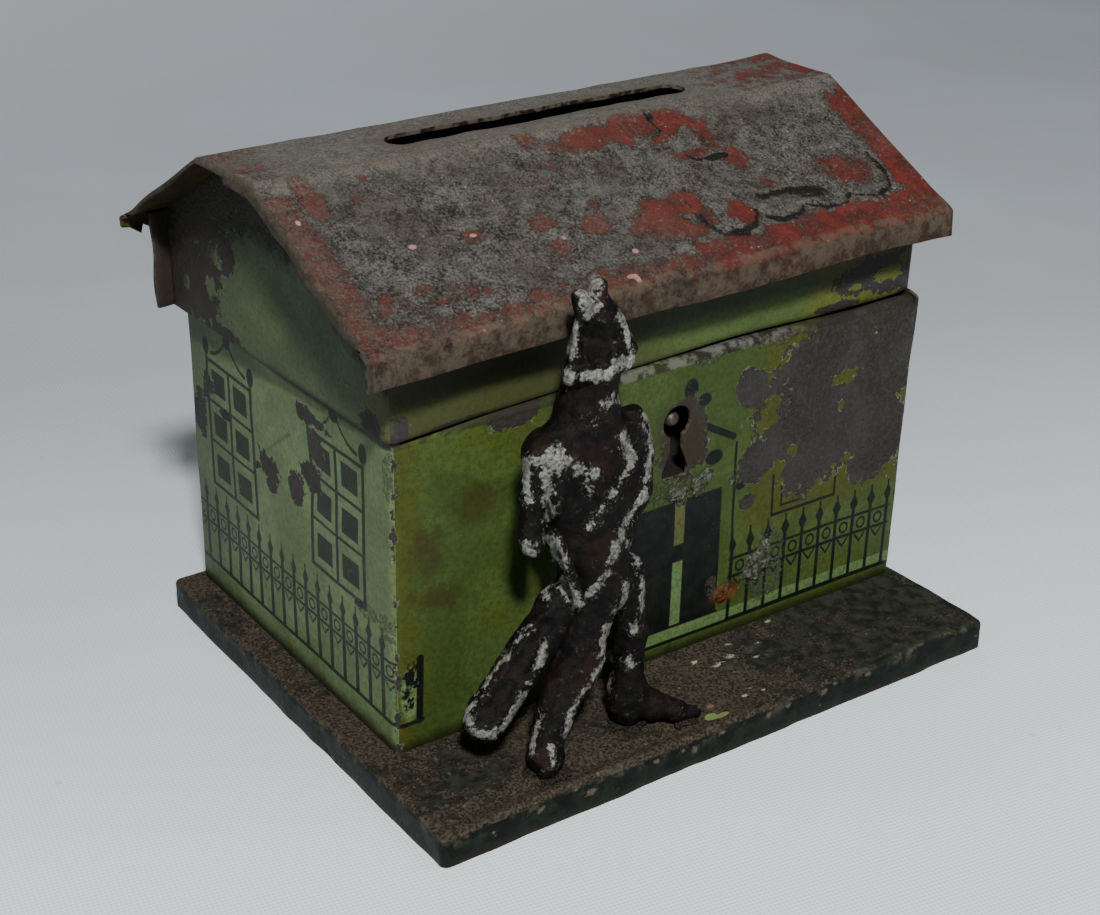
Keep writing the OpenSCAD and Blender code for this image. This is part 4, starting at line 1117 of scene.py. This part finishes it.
def build_roof(finishes):
    """Roof: one sheet carried along its bent section, split along the coin slot, with lips turned down at
    both ends; the lips run out to nothing at the eaves."""
    fold = 0.45
    section = [(-23.2, 41.9, 0), (EAVE_FRONT, EAVE_Z, 0.6), (RIDGE_FRONT, RIDGE_Z, 0.9),
               (RIDGE_REAR, RIDGE_Z, 0.9), (EAVE_REAR, EAVE_Z, 0.6), (20.9, 41.9, 0)]
    line = bent_line(section, 0.75)
    middle = np.array([[SLOT_Y, float(RIDGE_Z)]])
    fore = np.concatenate([line[line[:, 0] < SLOT_Y - 0.2], middle])
    aft = np.concatenate([middle, line[line[:, 0] > SLOT_Y + 0.2]])
    bow = SLOT_RUN + SLOT_HALF * np.sin(np.radians(np.linspace(0, 90, 9)))
    xs = np.concatenate([np.linspace(ROOF_LEFT, SLOT_X - bow[-1], 24)[:-1], SLOT_X - bow[::-1],
                         np.linspace(SLOT_X - SLOT_RUN, SLOT_X + SLOT_RUN, 42)[1:-1], SLOT_X + bow,
                         np.linspace(SLOT_X + bow[-1], ROOF_RIGHT, 24)[1:]])
    half = np.sqrt(np.clip(SLOT_HALF ** 2 - np.clip(abs(xs - SLOT_X) - SLOT_RUN, 0, None) ** 2, 0, None))

    def shaped(plan):
        """Dents, sagging eaves and corners that are bent a little."""
        x, y, z = plan[..., 0], plan[..., 1], plan[..., 2]
        body = plan.copy()
        eave = smooth((abs(y + 1) - 14) / 9)
        body[..., 2] += 0.1 * ripple(plan, 19, 31) + 0.035 * ripple(plan, 5, 32)
        body[..., 2] += 0.16 * eave * ripple(plan, 15, 33)
        body[..., 1] += 0.12 * eave * ripple(plan, 13, 34)
        body[..., 2] += 0.4 * smooth((x - 26) / 6) * smooth((y - 1) / 4) * smooth((9 - y) / 4)
        body[..., 2] += dent(plan, (-20, -15, 49), 6, -0.25) + dent(plan, (10, -12, 50), 5, -0.2)
        body[..., 2] += dent(plan, (SLOT_X - 3, SLOT_Y - 2, RIDGE_Z), 4, -0.18)
        broken_off = smooth((-30.5 - x) / 5) * smooth((44.3 - z) / 2.4) * (y > 10)
        body[..., 2] += (1.5 + 0.25 * ripple(plan, 1.6, 37)) * broken_off
        body[..., 2] -= 0.35 * smooth((ROOF_LEFT + 3 - x) / 3) * smooth((y - 15) / 5)
        body[..., 0] -= 0.12 * ripple(plan, 4, 36) * smooth((ROOF_LEFT + 0.8 - x) / 0.8) * eave
        return body

    grids = []
    for part, sign in ((fore, -1), (aft, 1)):
        y, z = part[:, 0:1], part[:, 1:2]
        opened = np.clip(1 - abs(y - SLOT_Y) / (4.4 if sign < 0 else 5.05), 0, 1)
        yy = y + sign * half * opened
        turned = smooth((z - 44.9) / 1.2)
        ends = (ROOF_LEFT + fold * turned, ROOF_RIGHT - fold * turned)
        xx = np.where(xs < SLOT_X, np.maximum(xs, ends[0] + (xs - ROOF_LEFT) * 0.2),
                      np.minimum(xs, ends[1] - (ROOF_RIGHT - xs) * 0.2))
        share = (xs - ROOF_LEFT) / (ROOF_RIGHT - ROOF_LEFT)
        xx = np.where(share == 0, ends[0], np.where(share == 1, ends[1], xx))
        plan = np.stack([xx, yy, z * np.ones_like(xx)], -1)
        body = shaped(plan)
        grids.append((body, plan))
        rows = turned[:, 0] > 0.001
        a = np.linspace(0, 1, 10) * (fold * math.pi / 2 + (0.75 if sign < 0 else 0.1))
        phi = np.minimum(a / fold, math.pi / 2)
        out, drop = fold * np.sin(phi), fold * (1 - np.cos(phi)) + np.maximum(a - fold * math.pi / 2, 0)
        k = turned[rows]
        for edge, way in ((0, -1), (-1, 1)):
            lip = np.stack([way * out * k, 0 * out * k, -drop * k], -1)
            wave = 0.1 * ripple(plan[rows][:, edge], 6, 38)[:, None, None]
            ragged = 1 + wave * np.linspace(0, 1, 10)[:, None]
            pair = [body[rows][:, edge][:, None] + lip * ragged, plan[rows][:, edge][:, None] + lip]
            if way < 0:
                pair = [p[:, ::-1] for p in pair]
            grids.append(tuple(pair))
    points, faces, plan = join_grids(grids)
    make("roof_sheet", placed(points, LID_SKEW), faces, plan, "lid", ["roof"], finishes,
         SHEET, SHEARED_EDGE)


def build_base(finishes):
    """Base: rings of the rounded outline, up the rim, over the bend and in to the middle of the top."""
    low, high = (np.array(c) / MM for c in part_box("base_tray"))
    (x0, y0), (x1, y1) = (low - HOUSE)[:2], (high - HOUSE)[:2]
    outline = bent_line([(x0, y0, 0.8), (x1, y0, 0.8), (x1, y1, 0.8), (x0, y1, 0.8)], 0.7, closed=True)
    normal = line_normals(outline)
    normal[0] = normal[-1]
    bend = 0.55
    t = np.radians(np.linspace(0, 90, 6))
    rim_rows = 5
    inset = np.concatenate([np.zeros(rim_rows), bend * (1 - np.cos(t))])
    z = np.concatenate([np.linspace(0, high[2] - bend, rim_rows + 1)[:-1], high[2] - bend + bend * np.sin(t)])
    rings = outline[None] - normal[None] * inset[:, None, None]
    rim = np.concatenate([rings, np.broadcast_to(z[:, None, None], rings.shape[:2] + (1,))], -1)
    centre = np.array([(x0 + x1) / 2, (y0 + y1) / 2, high[2]])
    shrink = (1 - np.linspace(0, 1, 44))[1:, None, None]
    plan = np.concatenate([rim, centre + (rim[-1] - centre) * shrink])
    body = plan.copy()
    x, y, h = plan[..., 0], plan[..., 1], plan[..., 2]
    outer = smooth((h - 0.2) / 2.4)
    porch = smooth((-20.8 - y) / 3)
    body[..., 2] += porch * outer * (0.1 * ripple(plan, 13, 41) + 0.04 * ripple(plan, 4, 42))
    crease = np.exp(-((y - y0 - 2.0 - 0.15 * ripple(plan, 9, 43)) / 0.45) ** 2) * smooth((4 - x) / 14)
    body[..., 2] -= 0.22 * crease * outer
    body[..., 2] += 0.28 * smooth((y0 + 1.7 - y) / 1.2) * smooth((4 - x) / 14) * outer * (h > high[2] - 0.3)
    wave = 0.08 * ripple(plan * np.array([1, 1, 0.3]), 14, 44) + 0.04 * ripple(plan, 3.5, 45)
    body[:len(z), :, :2] += normal[None] * (wave[:len(z)] - 0.1)[..., None]
    corner = np.exp(-(((x - x0) / 1.8) ** 2 + ((y - y0) / 1.8) ** 2))
    body[..., 2] -= 0.35 * corner * outer
    points, faces, plan = join_grids([(body, plan)])
    points[:, 2] = np.maximum(points[:, 2], 0)
    make("base", placed(points), faces, plan, "box", ["base_tray"], finishes,
         SHEET, SHEARED_EDGE)


def limb(p, a, b):
    """Distance to a round bar from ball a to ball b (x, y, z, radius)."""
    a, b = np.array(a), np.array(b)
    axis = (b - a)[:3]
    t = np.clip(((p - a[:3]) @ axis) / (axis @ axis), 0, 1)
    return np.linalg.norm(p - a[:3] - t[..., None] * axis, axis=-1) - (a[3] + t * (b[3] - a[3]))


def chain(p, balls, soft=0.4):
    """Bars through the balls one after another."""
    whole = None
    for a, b in zip(balls[:-1], balls[1:]):
        part = limb(p, a, b)
        whole = part if whole is None else melt(whole, part, soft)
    return whole


def melt(a, b, soft):
    """The nearer of two surfaces, with a fillet of about soft millimetres where they meet."""
    h = np.clip(0.5 + 0.5 * (b - a) / soft, 0, 1)
    return b + (a - b) * h - soft * h * (1 - h)


def figure_field(p):
    """The cast animal: a standing body with a tall pointed head, folded arm, two legs and a thick tail."""
    left, right = (-18.9, -26.4, 32.8, 2.2), (-11.3, -26.3, 32.8, 2.0)
    waist, hip = (-14.9, -26.4, 24, 3.3), (-13.8, -26.4, 18.6, 3.2)
    body = melt(limb(p, left, right), limb(p, (-15.2, -26.3, 35.2, 2.9), waist), 1.6)
    flanks = melt(limb(p, left, (-17.0, -26.4, 25, 2.1)), limb(p, right, (-12.4, -26.4, 24, 2.2)), 1.2)
    body = melt(body, flanks, 1.4)
    body = melt(body, limb(p, waist, hip), 1.2)
    head = chain(p, [(-14.4, -26.3, 46.9, 0.8), (-14.6, -26.4, 44.3, 1.75), (-14.5, -26.5, 41.3, 2.4),
                     (-14.9, -26.4, 38.8, 2.35), (-15.1, -26.3, 37.0, 2.6)], 0.6)
    hollow = np.linalg.norm((p - np.array([-15.9, -28.9, 42.7])) / np.array([1.35, 1.5, 2.2]), axis=-1) - 1
    head = -melt(-head, hollow * 1.4, 0.35)
    for balls, fillet in (
            ([(-16.6, -26.9, 46.6, 0.8), (-16.3, -27, 45.2, 0.7)], 0.5),
            ([(-16.8, -27, 46.4, 0.4), (-17.0, -27.2, 44.3, 0.42), (-17.2, -27.3, 41.8, 0.5),
              (-17.6, -27.2, 39.9, 0.7)], 0.45),
            ([(-17.3, -28.2, 40.3, 0.6), (-15.1, -28.6, 40.0, 0.65), (-12.6, -28.2, 40.6, 0.6),
              (-11.6, -27.4, 41.3, 0.55), (-12.9, -27.3, 44.2, 0.4), (-14.2, -27.2, 46.2, 0.35)], 0.45),
            ([(-12.9, -28.2, 42.1, 0.5), (-12.6, -27.9, 43.0, 0.35)], 0.3)):
        head = melt(head, chain(p, balls), fillet)
    body = melt(body, head, 0.9)
    for balls, fillet in (
            ([(-10.6, -26.7, 34.2, 1.3), (-9.7, -27.0, 30.8, 1.15), (-10.0, -27.4, 27.6, 1.1),
              (-11.8, -27.9, 24.7, 0.85), (-13.3, -28.3, 22.2, 0.6)], 0.45),
            ([(-13.1, -28.2, 34.1, 0.5), (-11.9, -28.3, 31.2, 0.75), (-13.7, -28.8, 28.7, 0.75),
              (-16.3, -29.2, 26.3, 0.65)], 0.4),
            ([(-20.0, -26.7, 33.3, 1.6), (-21.0, -26.8, 29.4, 1.15), (-21.4, -27, 26.2, 1.05),
              (-21.3, -27.2, 25.2, 1.1)], 0.4),
            ([(-19.2, -28.0, 33.2, 0.8), (-19.6, -28.3, 28.4, 0.55)], 0.5),
            ([(-16.3, -29.0, 31.5, 0.7), (-16.0, -29.1, 29.4, 0.5)], 0.6),
            ([(-19.4, -28.6, 25.8, 0.4), (-17.6, -29.3, 19.3, 0.5)], 0.5)):
        body = melt(body, chain(p, balls), fillet)
    tail = [(-17.3, -26.3, 18.0, 1.9), (-21.4, -26.1, 12.7, 2.05), (-25.3, -26.1, 8.2, 2.0)]
    groove = [(x - 1.45, y - 1.85, z + 1.25, 1.25) for x, y, z, _ in tail]
    rope = -melt(-chain(p, tail), chain(p, [(-20.3, -28.1, 17.0, 1.1)] + groove[1:]), 0.3)
    body = melt(body, rope, 0.6)
    for balls, soft, fillet in (
            ([(-14.6, -26.8, 17.2, 2.5), (-16.3, -27.4, 11.8, 2.25), (-19, -28.2, 8.4, 1.8),
              (-20.6, -29, 5.9, 1.45), (-21.2, -29.8, 4.5, 1.5), (-21.5, -30.4, 4.0, 1.1)], 0.6, 0.6),
            ([(-10.9, -26.5, 18.8, 2.1), (-9.8, -26.6, 12.4, 1.6), (-10.2, -27, 7.4, 1.5),
              (-10.6, -27.6, 4.6, 1.5)], 0.6, 0.7),
            ([(-10.2, -27.2, 6.4, 1.55), (-8.4, -28.3, 4.9, 1.45), (-6.3, -29.6, 4.1, 1.05),
              (-4.5, -30.4, 3.75, 0.65)], 0.5, 0.9)):
        body = melt(body, chain(p, balls, soft), fillet)
    body = body + 0.07 * ripple(p, 2.4, 61) + 0.05 * ripple(p, 0.9, 62)
    return np.maximum(body, FLOOR_Z - p[..., 2])


def build_figure(finish):
    """Cast figure, with the share of worn paint stored on its points: on its ridges and in streaks that are
    laid out as seen slantwise from the front left."""
    points, faces = skin(figure_field, (-29, -33, 2.6), (-3, -21.5, 49.5), 0.23)
    nudge = 0.06
    for _ in range(2):
        here = figure_field(points)
        slope = np.stack([figure_field(points + nudge * e) - here for e in np.eye(3)], -1) / nudge
        size = np.maximum((slope ** 2).sum(-1, keepdims=True), 0.3)
        points = points - np.clip(here[:, None] * slope / size, -0.1, 0.1)
    obj = make("lead_animal", placed(points), faces, points, "box", ["figure"], [finish])
    p = plan_of(obj.data).astype(float)
    wide = 0.5
    around = sum(figure_field(p + wide * e) + figure_field(p - wide * e) for e in np.eye(3))
    ridge = np.clip((around - 6 * figure_field(p)) / wide ** 2, -2, 3)
    behind = p[:, 1] + 28.5
    slant = np.stack([p[:, 0] - 0.716 * behind, p[:, 2] + 0.599 * behind], -1)
    streaks = [
        (-16.9, 47.2, -16.6, 46.4, 0.9), (-17.6, 48.2, -16.1, 48.6, 0.5), (-18.4, 45.4, -18.5, 42.6, 0.3),
        (-18.9, 41.0, -18.6, 40.5, 0.55), (-17.0, 40.4, -14.9, 40.0, 0.5), (-14.9, 40.0, -12.8, 40.8, 0.55),
        (-12.5, 41.8, -13.7, 45.1, 0.25), (-15.3, 37.5, -14.8, 37.3, 0.3), (-13.8, 37.7, -13.4, 37.4, 0.25),
        (-23.2, 34.1, -22.6, 30.5, 0.4), (-23.0, 33.9, -19.6, 33.5, 0.45), (-20.3, 34.0, -19.3, 32.8, 0.8),
        (-20.8, 32.4, -20.6, 28.1, 0.5), (-17.7, 32.0, -16.0, 31.0, 0.45), (-16.7, 30.8, -16.3, 29.3, 0.35),
        (-13.1, 34.0, -11.9, 31.3, 0.4), (-12.2, 30.8, -13.7, 28.7, 0.22), (-13.7, 28.7, -16.4, 26.2, 0.25),
        (-10.4, 35.4, -9.8, 31.5, 0.2), (-9.8, 31.5, -10.4, 27.5, 0.3), (-10.4, 27.5, -12.5, 25.1, 0.4),
        (-12.5, 25.1, -13.6, 22.2, 0.45), (-20.5, 26.3, -19.0, 23.1, 0.45), (-18.8, 21.3, -17.4, 18.4, 0.5),
        (-20.9, 23.3, -20.6, 20.1, 0.35), (-14.1, 20.8, -16.0, 19.2, 0.3), (-22.9, 26.2, -22.4, 25.4, 0.45),
        (-11.7, 23.2, -10.5, 20.2, 0.2), (-11.8, 18.8, -12.6, 16.5, 0.35), (-10.0, 19.0, -9.8, 15.4, 0.3),
        (-13.9, 15.4, -14.4, 12.8, 0.45), (-10.9, 14.3, -10.6, 13.8, 0.4), (-11.2, 10.8, -10.8, 10.3, 0.4),
        (-22.6, 17.6, -26.4, 14.2, 0.2), (-26.4, 14.2, -29.0, 11.0, 0.25), (-29.0, 10.8, -28.1, 8.8, 0.35),
        (-28.1, 8.8, -26.0, 8.1, 0.35), (-21.0, 15.6, -21.3, 13.8, 0.5), (-22.3, 11.9, -25.0, 8.4, 0.35),
        (-14.0, 12.0, -17.5, 8.2, 0.15), (-17.8, 7.8, -18.0, 5.4, 0.25), (-21.0, 8.5, -21.9, 5.0, 0.25),
        (-19.7, 4.9, -19.6, 3.4, 0.25), (-13.3, 10.8, -13.4, 5.0, 0.22), (-16.3, 36.0, -16.1, 35.6, 0.15)]
    gap = np.full(len(p), 9.0)
    for u0, v0, u1, v1, half in streaks:
        axis = np.array([u1 - u0, v1 - v0])
        arm = slant - np.array([u0, v0])
        t = np.clip((arm @ axis) / (axis @ axis), 0, 1)
        gap = np.minimum(gap, np.linalg.norm(arm - t[:, None] * axis, axis=1) - half)
    seen = smooth((-p[:, 1] - 24.6) / 1.2)
    rub = np.clip(0.56 - gap / 0.95, -0.22, 0.85) * seen + 0.25 * (1 - seen)
    rub += 0.12 * np.clip(ridge, -1, 2) - 0.08
    layer = obj.data.attributes.new("rubbed", "FLOAT", "POINT")
    layer.data.foreach_set("value", rub.astype(np.float32))


def build_crust(name, mounds, node, finish):
    """Ragged mounds (x, y, z, radius, height, upright) on the porch or, if not upright, on the front wall.
    Each is carried out in rings from its top to its rim and back in underneath."""
    ring = np.concatenate([np.sin(np.radians(np.linspace(0, 90, 14))), np.linspace(1, 0, 6)[1:]])[:, None]
    over = np.concatenate([np.cos(np.radians(np.linspace(0, 90, 14))), np.full(5, -0.12)])[:, None]
    turn = -np.linspace(0, 2 * np.pi, 61)[None, :]
    grids = []
    for x, y, z, radius, height, upright in mounds:
        centre, e = np.array([x, y, z]), np.eye(3)
        v, n = (e[1], e[2]) if upright else (e[2], -e[1])
        circle = np.cos(turn)[..., None] * e[0] + np.sin(turn)[..., None] * v
        plain = centre + radius * ring[..., None] * circle
        spread = 1 + 0.3 * ring * ripple(plain, 1.4, 71) + 0.12 * ring * ripple(plain, 0.5, 72)
        lumps = 1 + 0.35 * ripple(plain, 0.8, 73)
        flat = centre + (plain - centre) * spread[..., None]
        grids.append((flat + (height * over * np.clip(lumps, 0.3, 2))[..., None] * n, flat))
    points, faces, plan = join_grids(grids)
    make(name, placed(points), faces, plan, "box", [node], [finish])


# ---------------------------------------------------------------- the object

tin_inside = finish_material("tin, inner faces", inside_tin, metallic=0.15, specular=0.25)
tin_cut = finish_material("tin, cut edges", cut_edge, specular=0.2)
front_finish = finish_material("printed front", front_print, specular=0.14)
side_finish = finish_material("printed sides", side_print, specular=0.14)
roof_finish = finish_material("dusty red roof", roof_print, specular=0.12)
lid_finish = finish_material("printed lid", lid_print, specular=0.14)
build_walls([front_finish, side_finish, tin_inside, tin_cut])
build_lid_walls([lid_finish, tin_inside, tin_cut])
build_lid_rear([finish_material("brown plate", brown_plate, specular=0.15), tin_inside, tin_cut])
build_roof([roof_finish, finish_material("roof underside", roof_underside, specular=0.12), tin_cut])
build_base([finish_material("base paint", base_paint, specular=0.07), tin_inside, tin_cut])

lead_finish = finish_material("painted lead", lead, specular=0.07)
build_figure(lead_finish)
solder_finish = finish_material("solder", solder, metallic=0.1, specular=0.2)
crust_finish = finish_material("old crust", crust, specular=0.1)
build_crust("solder_scars", [
    (11, -WALL_Y, 10, 1.9, 0.35, False), (0.6, -WALL_Y, 21, 1.3, 0.28, False),
    (3.4, -WALL_Y, 21.4, 1.2, 0.25, False), (7, -WALL_Y, 7.9, 0.9, 0.3, False),
    (4.5, -25.5, FLOOR_Z, 1.1, 0.22, True), (7.5, -24.2, FLOOR_Z, 0.8, 0.22, True),
], "old_solder", crust_finish)
build_crust("solder_under_feet", [
    (-21.2, -29.8, FLOOR_Z, 1.9, 0.4, True), (-10.6, -27.6, FLOOR_Z, 1.9, 0.4, True),
    (-5.9, -29.9, FLOOR_Z, 1.3, 0.35, True),
], "figure_solder", finish_material("dusty solder", dusty_solder, specular=0.08))
finish_of = {
    "solder": solder_finish,
    "bare_tin": finish_material("bare tin", plain_tin, metallic=0.45),
    "old_iron": finish_material("old iron", iron),
    "spring_steel": finish_material("spring strip", spring_steel),
    "lead_casting": lead_finish}
slot_of = {part["node"]: part["material_slot"] for part in frame["record"]["subparts"]}
for name, obj in frame["nodes"].items():
    if slot_of[name] in finish_of:
        obj.data.materials.clear()
        obj.data.materials.append(finish_of[slot_of[name]])


# ---------------------------------------------------------------- stage, light, camera

def lay_floor():
    """Pale cloth floor: a level square sheet, 3.2 m wide, with a fine weave in its colour and its bump."""
    x = np.linspace(-1.6, 1.6, 9)
    grid = np.stack(np.broadcast_arrays(x[None, :], x[:, None] + 0.6, 0 * x[:, None]), -1)
    mesh = bpy.data.meshes.new("floor")
    mesh.from_pydata(grid.reshape(-1, 3).tolist(), [], quads(9, 9).tolist())
    floor = bpy.data.objects.new("floor", mesh)
    bpy.context.scene.collection.objects.link(floor)

    def cloth(g):
        """Two sets of threads at right angles, woven at a slant, over slow changes of tone, with painted
        shade darkening the cloth behind the house and painted light lifting it again farther back.
        """
        body = g.body()
        x, y, _ = g.split(body)
        weave_turn, thread_rate = 0.62, 10.5
        along = x * math.cos(weave_turn) + y * math.sin(weave_turn)
        across = y * math.cos(weave_turn) - x * math.sin(weave_turn)
        threads = g.math("SINE", along * thread_rate) * g.math("SINE", across * thread_rate)
        # Painted shade: the cloth darkens from just in front of the house to behind it.
        far = g.ease(y * 0.8 + x * 0.25, -45, 75)
        color = g.blend(far, tone(192, 198, 201, 1), tone(142, 147, 152, 1))
        # Painted light: farther back the cloth is lifted to a paler tone again.
        color = g.blend(g.ease(y, 130, 420), color, tone(186, 192, 198, 1))
        color = g.blend(g.ease(g.noise(body, 60, 3), 0.4, 0.65) * 0.12, color, tone(170, 178, 188, 1))
        color = g.blend(g.ease(threads, 0.0, 0.7) * 0.3, color, tone(150, 156, 162, 1))
        fuzz = g.under(g.grains(body, 9), 0.035, 0.02)
        color = g.blend(fuzz * 0.35, color, tone(140, 142, 146, 1))
        return {"color": color, "rough": 0.85, "height": threads * 0.04, "bump": 0.5}

    mesh.materials.append(finish_material("pale cloth", cloth, specular=0.15))


def toward(azimuth, elevation):
    """Unit vector to the place at azimuth (degrees, 0 in front, positive to the right) and elevation."""
    a, e = math.radians(azimuth), math.radians(elevation)
    return Vector((math.sin(a) * math.cos(e), -math.cos(a) * math.cos(e), math.sin(e)))


def area_light(name, size, power, azimuth, elevation, distance):
    """Soft square light, aimed at the middle of the house."""
    way = toward(azimuth, elevation)
    data = bpy.data.lights.new(name, "AREA")
    data.energy, data.size = power, size
    lamp = bpy.data.objects.new(name, data)
    lamp.location = Vector((0.0, -0.01, 0.025)) + way * distance
    lamp.rotation_euler = way.to_track_quat("Z", "Y").to_euler()
    bpy.context.scene.collection.objects.link(lamp)


lay_floor()
area_light("key", 0.05, 7.0, -29, 47, 0.55)
area_light("ridge light", 0.25, 0.9, 60, 62, 0.7)
area_light("left fill", 0.3, 0.5, -85, 30, 0.7)
area_light("rear fill", 0.6, 1.8, 165, 38, 0.9)
world = bpy.data.worlds.new("studio air")
world.use_nodes = True
world.node_tree.nodes["Background"].inputs["Color"].default_value = (0.86, 0.92, 1.0, 1)
world.node_tree.nodes["Background"].inputs["Strength"].default_value = 0.02
bpy.context.scene.world = world

roll, camera_distance = math.radians(1.17), 161.24
back = toward(-35.59, 25.98)
level = (-back).cross(Vector((0, 0, 1))).normalized()
rise = level.cross(-back)
right = level * math.cos(roll) + rise * math.sin(roll)
upward = rise * math.cos(roll) - level * math.sin(roll)
target = Vector((HOUSE[0] - 16.55, HOUSE[1] - 22.83, 30)) * MM
lens = bpy.data.cameras.new("camera")
lens.sensor_width = 36
lens.lens = 60.2951
lens.shift_x = 0.0007
lens.shift_y = 0.0041
lens.clip_start = 0.01
camera = bpy.data.objects.new("camera", lens)
stand = Matrix((right, upward, back)).transposed().to_4x4()
stand.translation = target + back * camera_distance * MM
camera.matrix_world = stand
bpy.context.scene.collection.objects.link(camera)
bpy.context.scene.camera = camera
